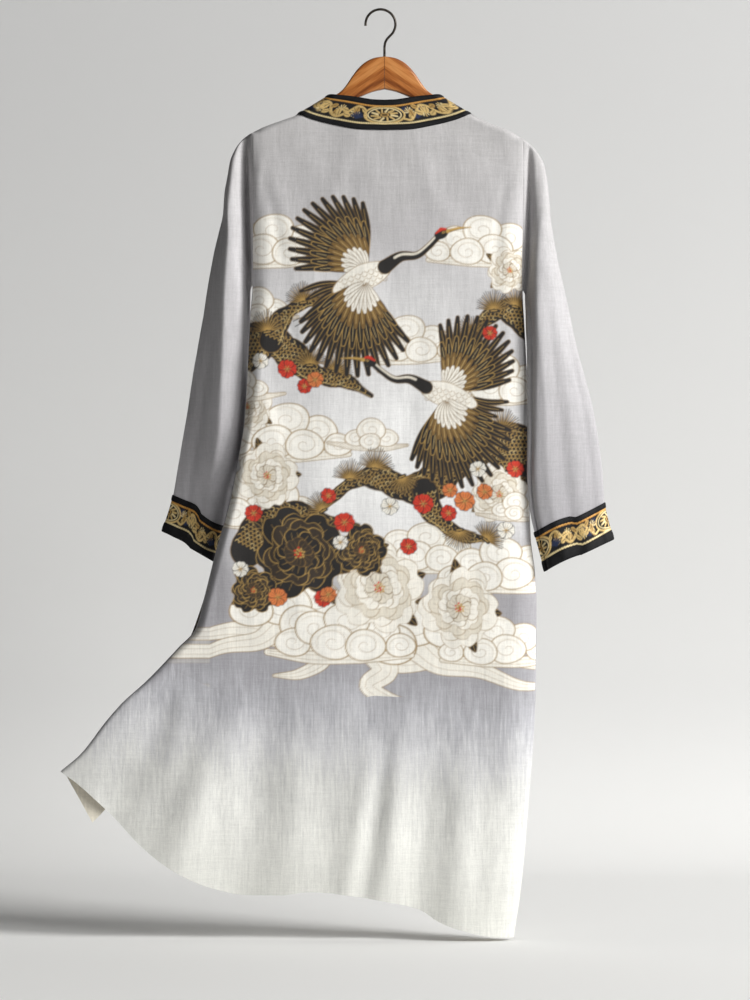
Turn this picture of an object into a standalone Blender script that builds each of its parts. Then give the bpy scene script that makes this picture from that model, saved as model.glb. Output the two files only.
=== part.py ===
"""Long linen kimono with brocade bands, hanging open-fronted on a wooden hanger.

The back faces -Y and the open front faces +Y. The origin is the inner top of the
wire hook, where a rail or a peg carries it. Tables are in millimetres: x runs from
the garment's centre line to the right, and drop runs down from the hang point.
"""
import math

import bmesh
import bpy
from mathutils import Vector

MM = 0.001
CENTRE_X = 6.0
GAP = 0.3
HALF_GAP = GAP / 2.0

# Cloth
LINEN_WALL = 1.8
BAND_PROUD = 0.7
BAND_INNER = 1.4
LINEN_COLOUR = (0.60, 0.60, 0.61)
BROCADE_COLOUR = (0.42, 0.33, 0.16)
BINDING_COLOUR = (0.020, 0.021, 0.026)
WOOD_COLOUR = (0.46, 0.20, 0.07)
STEEL_COLOUR = (0.12, 0.11, 0.10)

# Length of the cloth at the right side, from the shoulder to the hem
CLOTH_TOP = 190.0
CLOTH_HEM = 1393.5
SLIT_TOP = 886.0
LEFT_SHOULDER_X = -198.8
RIGHT_SHOULDER_X = 208.5
NECK_HALF = 82.4
COLLAR_HALF = 130.6
NECK_SHOULDER_DROP = 127.0
BAND_SHOULDER_DROP = 156.0

# Shoulder ridge: x, drop
RIDGE = [
    (-198.8, 183.8), (-181.7, 175.2), (-155.7, 165.5), (-130.6, 156.0),
    (-107.3, 142.2), (-82.4, 127.0), (-59.3, 113.8), (-33.8, 102.8),
    (0.0, 98.3), (33.8, 102.8), (59.3, 113.8), (82.4, 127.0),
    (107.3, 142.2), (130.6, 156.0), (159.8, 169.6), (185.9, 180.0),
    (208.5, 193.0),
]
# Left side line, the fold of the blown skirt below the slit: cloth, x, drop
LEFT_SIDE = [
    (190.0, -198.8, 183.8), (300.0, -198.8, 300.0), (414.0, -198.8, 414.0),
    (468.0, -203.0, 468.0), (616.0, -211.0, 616.0), (676.0, -220.5, 676.0),
    (737.0, -232.4, 737.0), (814.0, -253.8, 814.0), (886.0, -271.5, 884.0),
    (949.0, -284.0, 930.0), (1009.0, -309.8, 958.5), (1120.0, -360.0, 1014.0),
    (1232.0, -410.0, 1069.5), (1331.0, -450.0, 1121.0), (1393.5, -481.0, 1148.0),
]
# Right side line: cloth, x, drop
RIGHT_SIDE = [
    (190.0, 208.5, 193.0), (300.0, 208.5, 302.0), (421.0, 208.0, 422.0),
    (470.0, 210.4, 470.0), (520.0, 213.2, 520.0), (600.0, 216.5, 600.0),
    (700.0, 217.5, 700.0), (790.0, 220.0, 790.0), (845.0, 226.5, 845.0),
    (886.0, 229.0, 886.0), (1006.0, 228.0, 1006.0), (1093.0, 224.3, 1093.0),
    (1179.0, 217.7, 1179.0), (1317.0, 205.7, 1317.0), (1393.5, 194.5, 1393.5),
]
# Centre-back seam: cloth, x, drop
BACK_SEAM = [
    (190.0, 0.0, 182.1), (800.0, 0.0, 790.0), (1000.0, -8.0, 972.0),
    (1200.0, -38.0, 1152.0), (1393.5, -75.0, 1326.0),
]
# Back hem, from the blown corner to the centre seam: x, drop
HEM_LEFT = [
    (-481.0, 1148.0), (-460.0, 1163.0), (-434.0, 1186.5), (-402.8, 1216.5),
    (-362.3, 1258.5), (-309.8, 1296.0), (-258.8, 1318.5), (-206.3, 1329.0),
    (-155.3, 1329.0), (-113.9, 1324.0), (-75.0, 1326.0),
]
# Back hem, from the centre seam to the right corner: x, drop
HEM_RIGHT = [
    (-75.0, 1326.0), (-9.8, 1335.9), (51.8, 1350.0), (80.3, 1368.0),
    (114.8, 1381.0), (165.8, 1392.0), (194.5, 1393.5),
]
# Left front's side line: cloth, x, drop
FRONT_LEFT_SIDE = LEFT_SIDE[:9] + [
    (1009.0, -300.0, 960.0), (1200.0, -345.0, 1040.0), (1393.5, -385.0, 1110.0),
]
# Right front's side line: cloth, x, drop
FRONT_RIGHT_SIDE = RIGHT_SIDE[:10] + [
    (1006.0, 226.0, 1003.0), (1179.0, 214.0, 1172.0), (1393.5, 188.0, 1368.0),
]
# Front hems, from each side to the collar band: x, drop
FRONT_HEM_LEFT = [
    (-385.0, 1110.0), (-330.0, 1200.0), (-250.0, 1268.0), (-150.0, 1298.0),
    (-49.0, 1305.0),
]
FRONT_HEM_RIGHT = [
    (188.0, 1368.0), (110.0, 1350.0), (49.0, 1318.0),
]
# Neck edge and outer edge of the collar band on the back: distance from centre, drop
BACK_NECK = [
    (0.0, 135.6), (16.0, 134.9), (36.0, 131.9), (56.0, 129.0), (82.4, 127.0),
]
BACK_BAND = [
    (0.0, 181.8), (36.0, 180.4), (76.0, 173.4), (107.0, 165.5), (130.6, 156.0),
]
# The band's two edges on the fronts: drop, distance from centre
FRONT_NECK = [
    (127.0, 82.4), (250.0, 55.0), (350.0, 33.0), (440.0, 13.5), (500.0, 4.0),
    (560.0, 2.0), (1400.0, 2.0),
]
FRONT_BAND = [
    (156.0, 130.6), (250.0, 107.0), (350.0, 84.0), (440.0, 63.5), (500.0, 52.5),
    (560.0, 49.0), (1400.0, 49.0),
]
# Depth that the body gains below the rounded shoulder: distance below the ridge, depth
BODY_DEPTH = [
    (0.0, 0.0), (8.0, 0.0), (60.0, 3.0), (200.0, 9.0), (450.0, 13.0),
    (700.0, 15.0), (1000.0, 17.0), (1300.0, 18.0),
]
SHOULDER_ROUND = 12.0
SHOULDER_DROP = 8.0
SIDE_ROUND = 30.0
# Half depth of the armhole: distance below its top, half depth
ARMHOLE_DEPTH = [
    (0.0, 8.5), (50.0, 8.5), (100.0, 5.5), (160.0, 3.6), (230.0, 3.4),
]
ARMHOLE_LENGTH = 229.0
ARMHOLE_END = 5.0
LEFT_ARM_TOP = 183.8
RIGHT_ARM_TOP = 193.0
SLIT_OPENING = 5.0
SLIT_RUN = 160.0

# Folds: x top, drop top, x foot, drop foot, height, half width top, half width foot
BACK_FOLDS = [
    (35.0, 1030.0, -14.0, 1345.0, 7.0, 15.0, 34.0),
    (10.0, 1080.0, -34.0, 1340.0, -6.0, 11.0, 20.0),
    (-13.0, 1060.0, -56.0, 1335.0, 5.0, 11.0, 22.0),
    (-203.0, 1000.0, -322.0, 1290.0, 9.0, 22.0, 42.0),
    (-168.0, 1020.0, -215.0, 1330.0, -8.0, 24.0, 45.0),
    (-277.0, 940.0, -395.0, 1180.0, -6.0, 24.0, 34.0),
    (128.0, 1050.0, 106.0, 1385.0, 6.0, 26.0, 36.0),
    (80.0, 1060.0, 50.0, 1355.0, -4.0, 22.0, 28.0),
]
FRONT_FOLDS = [
    (-140.0, 700.0, -190.0, 1290.0, 8.0, 24.0, 36.0),
    (-95.0, 780.0, -110.0, 1300.0, -6.0, 22.0, 30.0),
    (-220.0, 940.0, -310.0, 1215.0, -7.0, 22.0, 34.0),
    (130.0, 720.0, 118.0, 1355.0, 8.0, 24.0, 30.0),
    (90.0, 800.0, 80.0, 1335.0, -5.0, 20.0, 24.0),
    (175.0, 900.0, 162.0, 1360.0, -5.0, 18.0, 20.0),
]

# Share of a fold's length over which it grows to its full height
FOLD_GROWTH = 0.6

# Blown skirt
FLARE_START_X = -205.0
FLARE_REACH = 282.0
FLARE_CURVE = 1.5
FLARE_DEPTH = 12.0
FLARE_TOP = 850.0
FLARE_RUN = 350.0
CURL_RADIUS = 7.0
CURL_WIDTH = 72.0
CURL_TOP = 930.0
CURL_SLIP = 0.9
CURL_SAMPLE = 0.02

# Left sleeve: along, outer x, outer drop, inner x, inner drop, half depth, outer y, inner y
LEFT_SLEEVE = [
    (0.0, -199.1, 183.8, -199.1, 412.8, 8.5, 0.0, 0.0),
    (12.0, -207.8, 188.3, -199.9, 414.0, 9.5, 0.0, 0.0),
    (24.0, -217.5, 198.0, -200.5, 415.4, 12.0, 0.0, 0.0),
    (36.0, -224.0, 207.8, -201.0, 416.8, 14.0, 0.0, 0.0),
    (56.0, -232.0, 225.6, -201.5, 418.8, 17.0, 0.5, 0.5),
    (82.0, -236.5, 249.0, -201.9, 421.2, 20.0, 1.0, 1.5),
    (106.0, -240.8, 273.0, -202.2, 425.5, 22.0, 2.0, 3.5),
    (140.0, -243.5, 307.5, -202.4, 434.0, 24.0, 4.0, 7.0),
    (170.0, -249.8, 334.5, -202.5, 447.0, 26.0, 6.5, 11.0),
    (200.0, -256.5, 361.5, -202.8, 465.0, 27.0, 9.0, 15.0),
    (245.0, -264.8, 406.5, -203.6, 492.0, 27.0, 12.0, 18.0),
    (296.0, -272.9, 456.0, -205.4, 526.0, 26.0, 15.0, 20.0),
    (344.0, -281.3, 504.0, -207.2, 566.0, 25.0, 18.0, 22.0),
    (385.0, -288.8, 544.5, -208.4, 606.0, 24.0, 20.5, 24.0),
    (424.0, -294.8, 583.5, -211.0, 646.0, 22.0, 24.0, 28.0),
    (458.0, -299.7, 616.5, -217.0, 683.0, 20.0, 28.0, 34.0),
    (510.0, -309.8, 670.5, -227.0, 725.0, 17.0, 33.0, 42.0),
    (560.0, -319.7, 729.0, -237.8, 777.0, 15.0, 37.0, 48.0),
    (620.0, -336.5, 784.5, -253.0, 833.5, 15.0, 39.0, 50.0),
]
# Right sleeve, with the same columns
RIGHT_SLEEVE = [
    (0.0, 208.8, 193.0, 208.8, 422.0, 8.5, 0.0, 0.0),
    (14.0, 221.0, 203.0, 209.6, 423.2, 9.5, 0.0, 0.0),
    (32.0, 232.6, 217.0, 210.4, 424.6, 12.0, 0.0, -0.5),
    (52.0, 241.0, 235.5, 211.1, 426.4, 15.0, 0.0, -1.5),
    (88.0, 246.8, 271.5, 211.4, 429.5, 20.0, 0.0, -4.0),
    (134.0, 250.8, 316.5, 211.6, 436.0, 24.0, 0.0, -8.0),
    (172.0, 256.5, 354.0, 212.0, 447.0, 26.0, -1.0, -12.0),
    (214.0, 264.8, 394.5, 212.8, 466.0, 28.0, -2.0, -15.0),
    (272.0, 277.5, 453.0, 213.9, 504.0, 26.0, -3.0, -18.0),
    (330.0, 290.3, 511.5, 214.2, 553.5, 22.0, -5.0, -20.0),
    (376.0, 302.3, 556.5, 214.2, 601.5, 19.0, -7.0, -21.0),
    (412.0, 311.3, 589.5, 214.0, 640.5, 17.0, -8.0, -22.0),
    (468.0, 321.0, 646.5, 213.6, 697.5, 15.0, -9.0, -22.0),
    (520.0, 328.2, 702.0, 217.0, 748.5, 14.0, -9.0, -22.0),
    (560.0, 330.6, 740.1, 224.5, 784.5, 13.0, -9.0, -22.0),
    (620.0, 344.1, 796.2, 240.0, 844.2, 13.0, -9.0, -20.0),
]
SLEEVE_LENGTH = 560.0
# Cuff pieces: name, start, end, measured along the sleeve
CUFF_PIECES = [
    ("cuff_edge_top", 560.0, 568.5),
    ("cuff_band", 568.5, 604.5),
    ("cuff_edge_hem", 604.5, 620.0),
]
RING_POINTS = 22
CUFF_PROUD = 0.6
ARMHOLE_BLEND = 50.0
SECTION_POWER = 2.4

# Mesh stations, in millimetres: down from a panel's top edge, and in from the collar's corner
TOP_ROWS = [0.0, 2.0, 6.0, 12.0, 22.0, 40.0, 70.0, 110.0, 160.0]
ROW_PITCH = 54.0
NECK_STEPS = [0.0, 2.0, 6.0, 15.0, 30.0, 50.0, 75.0, 102.0, COLLAR_HALF]
NORMAL_STEP = 0.4
# A distance inside the side at which its rounding no longer counts
WELL_INSIDE = 1000.0
SHARP_DEGREES = 35.0
EDGE_BINDING = 8.5
# Curled columns: distance in from the slit's edge, and that plus what it keeps past the fold
CURL_COLUMNS = [
    (0.0, 72.0), (4.0, 49.0), (8.0, 30.0), (12.0, 28.5), (16.0, 27.0),
    (20.0, 25.5), (24.0, 24.0),
]
SIDE_STEPS = [0.0, 5.0, 12.0, 25.0, 45.0]
FRONT_COLUMNS = [0.0, 0.05, 0.12, 0.24, 0.38, 0.53, 0.69, 0.85, 1.0]

# Hanger
HANGER_THICK = 12.0
HANGER_ROUND = 3.4
WIRE_RADIUS = 1.9
HOOK_RADIUS = 22.5
HOOK_DEGREES = (186, -18)
HOOK_STEP_DEGREES = -12
SOCKET_TOP = 64.0
SOCKET_FOOT = 88.0
STEM_FOOT = 86.5
# Wire below its round: x from the hang point, drop
HOOK_NECK = [
    (18.6, 33.4), (13.8, 38.6), (9.4, 43.6), (7.0, 48.8), (6.1, 54.5), (6.0, 61.0),
]
# Left half's outline: distance from centre, drop
HANGER_TOP = [
    (0.0, 69.0), (14.0, 71.0), (27.0, 76.5), (38.0, 85.5), (48.0, 98.0),
    (57.0, 111.5), (65.0, 121.0), (73.0, 126.5), (84.0, 131.0), (107.3, 145.2),
    (130.6, 159.0), (155.7, 170.6), (172.0, 177.6), (180.0, 182.2),
]
HANGER_FOOT = [
    (183.5, 187.0), (182.0, 193.0), (174.0, 195.0), (158.0, 190.0), (130.0, 177.5),
    (100.0, 161.0), (72.0, 147.0), (52.0, 137.0), (34.0, 129.0), (16.0, 122.0),
    (0.0, 118.5),
]


def clear_scene():
    for obj in list(bpy.data.objects):
        bpy.data.objects.remove(obj, do_unlink=True)


def material(name, colour, roughness, metallic=0.0):
    mat = bpy.data.materials.new(name)
    mat.use_nodes = True
    shader = mat.node_tree.nodes["Principled BSDF"]
    shader.inputs["Base Color"].default_value = (*colour, 1.0)
    shader.inputs["Roughness"].default_value = roughness
    shader.inputs["Metallic"].default_value = metallic
    mat.diffuse_color = (*colour, 1.0)
    return mat


def world(x, y, drop):
    """Point in metres from the tables' millimetres."""
    return Vector(((x + CENTRE_X) * MM, y * MM, -drop * MM))


def read(rows, key, column=1):
    """A table's column at a key in its first column, on a smooth curve without overshoot."""
    if key <= rows[0][0]:
        return rows[0][column]
    if key >= rows[-1][0]:
        return rows[-1][column]
    last = len(rows) - 1
    i = next(n for n in range(last) if key <= rows[n + 1][0])

    def secant(n):
        return (rows[n + 1][column] - rows[n][column]) / (rows[n + 1][0] - rows[n][0])

    def slope(n):
        if n == 0:
            return secant(0)
        if n == last:
            return secant(last - 1)
        before, after = secant(n - 1), secant(n)
        if before * after <= 0.0:
            return 0.0
        return 2.0 * before * after / (before + after)

    width = rows[i + 1][0] - rows[i][0]
    t = (key - rows[i][0]) / width
    start, end = rows[i][column], rows[i + 1][column]
    return (
        (2.0 * t**3 - 3.0 * t**2 + 1.0) * start
        + (t**3 - 2.0 * t**2 + t) * width * slope(i)
        + (3.0 * t**2 - 2.0 * t**3) * end
        + (t**3 - t**2) * width * slope(i + 1)
    )


def step(value):
    t = min(1.0, max(0.0, value))
    return t * t * (3.0 - 2.0 * t)


def rounding(value):
    """Quarter round: 0 at the edge, 1 at its full depth."""
    t = 1.0 - min(1.0, max(0.0, value))
    return math.sqrt(max(0.0, 1.0 - t * t))


def armhole_depth(down):
    """Half depth of the armhole at a distance below its top."""
    ends = rounding(down / ARMHOLE_END) * rounding((ARMHOLE_LENGTH - down) / ARMHOLE_END)
    return max(HALF_GAP, read(ARMHOLE_DEPTH, down) * ends)


def body_depth(x, drop):
    """Half depth of the body below the ridge, away from its sides."""
    below = max(0.0, drop - read(RIDGE, x))
    return SHOULDER_ROUND * rounding(below / SHOULDER_DROP) + read(BODY_DEPTH, below)


def edge_depth(left, drop, full):
    """Half depth at a side: the armhole, the closed side seam, then the open slit."""
    top = LEFT_ARM_TOP if left else RIGHT_ARM_TOP
    if drop < top + ARMHOLE_LENGTH:
        return min(full, armhole_depth(drop - top))
    opening = full if left else SLIT_OPENING
    return HALF_GAP + (opening - HALF_GAP) * step((drop - SLIT_TOP) / SLIT_RUN)


def folds(rows, x, drop):
    total = 0.0
    for x_top, top, x_foot, foot, height, wide_top, wide_foot in rows:
        t = (drop - top) / (foot - top)
        if t <= 0.0:
            continue
        middle = x_top + (x_foot - x_top) * t
        wide = wide_top + (wide_foot - wide_top) * min(1.0, t)
        total += height * step(t / FOLD_GROWTH) * math.exp(-(((x - middle) / wide) ** 2))
    return total


def flare(x, drop):
    """How far the blown corner swings away from the viewer of the back."""
    reach = min(1.0, max(0.0, (FLARE_START_X - x) / FLARE_REACH))
    return FLARE_DEPTH * reach**FLARE_CURVE * step((drop - FLARE_TOP) / FLARE_RUN)


def body_y(facing, x, drop, inside):
    """Outer face of the back (facing -1) or front (+1), at a distance inside its side."""
    full = body_depth(x, drop)
    edge = edge_depth(x < 0.0, drop, full)
    near = rounding(inside / SIDE_ROUND)
    depth = edge + (full - edge) * near
    rows = BACK_FOLDS if facing < 0 else FRONT_FOLDS
    fade = near + (1.0 - near) * (edge / max(full, HALF_GAP))
    depth += folds(rows, x, drop) * fade
    return facing * max(HALF_GAP, depth) + flare(x, drop)


def body_point(facing, x, drop, inside=WELL_INSIDE):
    return world(x, body_y(facing, x, drop, inside), drop)


def body_normal(facing, x, drop, inside=WELL_INSIDE):
    """Outward direction of the body's outer face."""
    e = NORMAL_STEP
    inward = 1.0 if x < 0.0 else -1.0
    across = (
        body_y(facing, x + e, drop, inside + inward * e)
        - body_y(facing, x - e, drop, inside - inward * e)
    ) / (2.0 * e)
    down = (
        body_y(facing, x, drop + e, inside) - body_y(facing, x, drop - e, inside)
    ) / (2.0 * e)
    normal = (Vector((-across, 1.0, down)) * facing).normalized()
    if abs(body_y(facing, x, drop, inside)) < 2.0 * GAP:
        normal = Vector((normal.x, 0.0, normal.z)).normalized()
    return normal


def patch(top, foot, first, last):
    """Flat pattern between four edge lines, as a function of across and down, 0 to 1."""
    def at(u, v):
        out = []
        for axis in (0, 1):
            sides = (1.0 - u) * first(v)[axis] + u * last(v)[axis]
            ends = (1.0 - v) * top(u)[axis] + v * foot(u)[axis]
            corners = (
                (1.0 - u) * (1.0 - v) * top(0.0)[axis]
                + u * (1.0 - v) * top(1.0)[axis]
                + (1.0 - u) * v * foot(0.0)[axis]
                + u * v * foot(1.0)[axis]
            )
            out.append(sides + ends - corners)
        return out
    return at


def rail(rows, dx=0.0):
    """Edge line as a function of 0 to 1 along the cloth."""
    def at(v):
        cloth = CLOTH_TOP + v * (CLOTH_HEM - CLOTH_TOP)
        return read(rows, cloth, 1) + dx, read(rows, cloth, 2)
    return at


def line(points):
    """Edge line through points, as a function of 0 to 1 of its length."""
    lengths = [0.0]
    for a, b in zip(points, points[1:]):
        lengths.append(lengths[-1] + math.hypot(b[0] - a[0], b[1] - a[1]))
    rows = [(s / lengths[-1], p[0], p[1]) for s, p in zip(lengths, points)]
    return lambda u: (read(rows, u, 1), read(rows, u, 2))


def back_top(shoulder_x):
    """Top edge of a back half from its shoulder to the centre, below the collar band."""
    def at(u):
        x = shoulder_x * (1.0 - u)
        if abs(x) >= COLLAR_HALF - 0.05:
            return x, read(RIDGE, x)
        return x, read(BACK_BAND, abs(x)) + GAP
    return at


def band_rail(rows, start, foot, sign, dx=0.0):
    """Long edge of a front band from its start on the shoulder to the hem."""
    def at(v):
        drop = start + v * (foot - start)
        return sign * (read(rows, drop) + dx), drop
    return at


def solid(name, outer, inner, mat, closed=False):
    """Wall between two matching grids of points, closed round its edges."""
    rows, cols = len(outer), len(outer[0])
    mesh = bmesh.new()
    skins = [[[mesh.verts.new(p) for p in row] for row in grid] for grid in (outer, inner)]
    last = cols if closed else cols - 1
    for skin in skins:
        for r in range(rows - 1):
            for c in range(last):
                d = (c + 1) % cols
                mesh.faces.new((skin[r][c], skin[r][d], skin[r + 1][d], skin[r + 1][c]))
    for r in (0, rows - 1):
        for c in range(last):
            d = (c + 1) % cols
            mesh.faces.new((skins[0][r][c], skins[0][r][d], skins[1][r][d], skins[1][r][c]))
    if not closed:
        for c in (0, cols - 1):
            for r in range(rows - 1):
                mesh.faces.new(
                    (skins[0][r][c], skins[0][r + 1][c], skins[1][r + 1][c], skins[1][r][c])
                )
    bmesh.ops.recalc_face_normals(mesh, faces=mesh.faces)
    return finish_mesh(name, mesh, mat)


def finish_mesh(name, mesh, mat):
    data = bpy.data.meshes.new(name)
    mesh.to_mesh(data)
    mesh.free()
    data.materials.append(mat)
    data.shade_smooth()
    data.set_sharp_from_angle(angle=math.radians(SHARP_DEGREES))
    obj = bpy.data.objects.new(name, data)
    bpy.context.scene.collection.objects.link(obj)
    return obj


def row_fractions():
    """Rows down a panel: close over the shoulder, then evenly to the hem."""
    length = CLOTH_HEM - CLOTH_TOP
    rows = [d / length for d in TOP_ROWS]
    start = TOP_ROWS[-1]
    count = round((length - start) / ROW_PITCH)
    return rows + [(start + (length - start) * n / count) / length for n in range(1, count + 1)]


def panel_solid(name, columns, place, mat):
    """Wall from place(column, row), which gives its outer point and outward direction."""
    outer, inner = [], []
    for v in row_fractions():
        pairs = [place(c, v) for c in columns]
        outer.append([point for point, normal in pairs])
        inner.append([point - normal * LINEN_WALL * MM for point, normal in pairs])
    return solid(name, outer, inner, mat)


def column_shares(half_width, start):
    """Columns from a start inside the side to the centre, through the collar's stations."""
    corner = half_width - COLLAR_HALF
    distances = [(start + corner) / 2.0] + [corner + d for d in NECK_STEPS]
    return [(d - start) / (half_width - start) for d in distances]


def make_back_left(mat):
    seam = rail(BACK_SEAM, -HALF_GAP)
    side = rail(LEFT_SIDE)
    flat = patch(back_top(LEFT_SHOULDER_X), line(HEM_LEFT), side, seam)

    def main(u, v):
        x, drop = flat(u, v)
        inside = u * (seam(v)[0] - side(v)[0])
        return body_point(-1, x, drop, inside), body_normal(-1, x, drop, inside)

    def curled(distance, v):
        """Past the fold: half round to the hidden side, then back behind the panel."""
        fold, out = main(0.0, v)
        away = fold - main(CURL_SAMPLE, v)[0]
        away = (away - out * away.dot(out)).normalized()
        turn = min(math.pi, distance / CURL_RADIUS)
        point = fold + (away * math.sin(turn) - out * (1.0 - math.cos(turn))) * CURL_RADIUS * MM
        rest = max(0.0, distance - math.pi * CURL_RADIUS) * MM
        point += (Vector((0.0, 0.0, -CURL_SLIP)) - away) * rest
        return point, (out * math.cos(turn) + away * math.sin(turn)).normalized()

    columns = column_shares(-LEFT_SHOULDER_X, CURL_COLUMNS[-1][0])

    def place(column, v):
        cloth = CLOTH_TOP + v * (CLOTH_HEM - CLOTH_TOP)
        curl = CURL_WIDTH * step((cloth - CURL_TOP) / (CLOTH_HEM - CURL_TOP))
        width = seam(v)[0] - side(v)[0]
        if column < len(CURL_COLUMNS):
            step_in, kept = CURL_COLUMNS[column]
            distance = step_in + curl * (1.0 - kept / CURL_WIDTH)
        else:
            share = columns[column - len(CURL_COLUMNS)]
            step_in = CURL_COLUMNS[-1][0]
            distance = curl + step_in + share * (width - step_in)
        if distance < curl - 0.001:
            return curled(curl - distance, v)
        return main(min(1.0, (distance - curl) / width), v)

    return panel_solid("back_left", range(len(CURL_COLUMNS) + len(columns)), place, mat)


def make_back_right(mat):
    seam = rail(BACK_SEAM, HALF_GAP)
    side = rail(RIGHT_SIDE)
    top = back_top(RIGHT_SHOULDER_X)
    flat = patch(lambda u: top(1.0 - u), line(HEM_RIGHT), seam, side)

    def place(share, v):
        x, drop = flat(1.0 - share, v)
        inside = share * (side(v)[0] - seam(v)[0])
        return body_point(-1, x, drop, inside), body_normal(-1, x, drop, inside)

    columns = column_shares(RIGHT_SHOULDER_X, SIDE_STEPS[-1])
    near = [d / RIGHT_SHOULDER_X for d in SIDE_STEPS]
    rest = [near[-1] + share * (1.0 - near[-1]) for share in columns]
    return panel_solid("back_right", near + rest, place, mat)


def make_front(name, left, mat):
    sign = -1.0 if left else 1.0
    foot = FRONT_HEM_LEFT if left else FRONT_HEM_RIGHT
    side = rail(FRONT_LEFT_SIDE if left else FRONT_RIGHT_SIDE)
    shoulder = LEFT_SHOULDER_X if left else RIGHT_SHOULDER_X
    edge = band_rail(FRONT_BAND, BAND_SHOULDER_DROP, foot[-1][1], sign, GAP)
    hem = line(foot)

    def top(u):
        x = shoulder + u * (sign * (COLLAR_HALF + GAP) - shoulder)
        return x, read(RIDGE, x)

    flat = patch(top, hem, side, edge)

    def place(share, v):
        x, drop = flat(share, v)
        inside = share * abs(edge(v)[0] - side(v)[0])
        return body_point(1, x, drop, inside), body_normal(1, x, drop, inside)

    return panel_solid(name, FRONT_COLUMNS, place, mat)


def collar_lines():
    """Lines across the band from its neck edge to its body edge: two flat points, facing."""
    lines = []
    for sign, hem in ((-1.0, FRONT_HEM_LEFT[-1][1]), (1.0, FRONT_HEM_RIGHT[-1][1])):
        neck = band_rail(FRONT_NECK, NECK_SHOULDER_DROP, hem, sign)
        body = band_rail(FRONT_BAND, BAND_SHOULDER_DROP, hem, sign)
        side = [(neck(v), body(v), 1) for v in row_fractions()]
        if sign < 0.0:
            lines += side[::-1]
            shares = [1.0 - d / COLLAR_HALF for d in NECK_STEPS[1:]]
            lines += [back_line(-share) for share in shares]
            lines += [back_line(share) for share in shares[-2::-1]]
        else:
            lines += side
    return lines


def back_line(share):
    neck_x = share * NECK_HALF
    body_x = share * COLLAR_HALF
    return (
        (neck_x, read(BACK_NECK, abs(neck_x))),
        (body_x, read(BACK_BAND, abs(body_x))),
        -1,
    )


def make_collar(name, cuts, mat, lines):
    """One long strip of the collar; cuts are distances from its neck or body edge."""
    outer, inner = [], []
    for neck, body, facing in lines:
        length = math.hypot(body[0] - neck[0], body[1] - neck[1])
        outer_row, inner_row = [], []
        for cut in cuts:
            share = cut(length)
            x = neck[0] + (body[0] - neck[0]) * share
            drop = neck[1] + (body[1] - neck[1]) * share
            point = body_point(facing, x, drop)
            normal = body_normal(facing, x, drop)
            outer_row.append(point + normal * BAND_PROUD * MM)
            inner_row.append(point - normal * BAND_INNER * MM)
        outer.append(outer_row)
        inner.append(inner_row)
    return solid(name, outer, inner, mat)


def ring(rows, along):
    """Frame and profile of a sleeve section: origin, across, depth direction, points."""
    a = world(read(rows, along, 1), read(rows, along, 6), read(rows, along, 2))
    b = world(read(rows, along, 3), read(rows, along, 7), read(rows, along, 4))
    length = (b - a).length / MM
    across = (b - a).normalized()
    to_viewer = Vector((0.0, -1.0, 0.0))
    depth_way = (to_viewer - across * to_viewer.dot(across)).normalized()
    half = read(rows, along, 5)
    armhole = 1.0 - step(along / ARMHOLE_BLEND)
    points = []
    for n in range(RING_POINTS):
        angle = 2.0 * math.pi * n / RING_POINTS
        share = (1.0 - math.cos(angle)) / 2.0
        oval = half * math.sqrt(max(0.0, 1.0 - abs(2.0 * share - 1.0) ** SECTION_POWER))
        depth = armhole * armhole_depth(share * ARMHOLE_LENGTH) + (1.0 - armhole) * oval
        points.append((share * length, math.copysign(depth, math.sin(angle))))
    return a, across, depth_way, points


def make_tube(name, rows, stations, proud, inward, mat):
    """Open tube through the sleeve's sections at stations along it."""
    outer, inner = [], []
    for along in stations:
        origin, across, depth_way, points = ring(rows, along)
        outer_row, inner_row = [], []
        for n, (x, y) in enumerate(points):
            before, after = points[n - 1], points[(n + 1) % len(points)]
            run = Vector((after[0] - before[0], after[1] - before[1])).normalized()
            for row, offset in ((outer_row, proud), (inner_row, -inward)):
                across_by = x - run.y * offset
                depth_by = y + run.x * offset
                row.append(origin + (across * across_by + depth_way * depth_by) * MM)
        outer.append(outer_row)
        inner.append(inner_row)
    return solid(name, outer, inner, mat, closed=True)


def make_sleeve(side, rows, linen, brocade, binding):
    stations = [row[0] for row in rows if row[0] < SLEEVE_LENGTH] + [SLEEVE_LENGTH - HALF_GAP]
    make_tube(f"sleeve_{side}", rows, stations, 0.0, LINEN_WALL, linen)
    for name, start, end in CUFF_PIECES:
        mat = brocade if name == "cuff_band" else binding
        stations = [start + HALF_GAP, (start + end) / 2.0, end - HALF_GAP]
        make_tube(f"{name}_{side}", rows, stations, CUFF_PROUD, BAND_INNER, mat)


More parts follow.
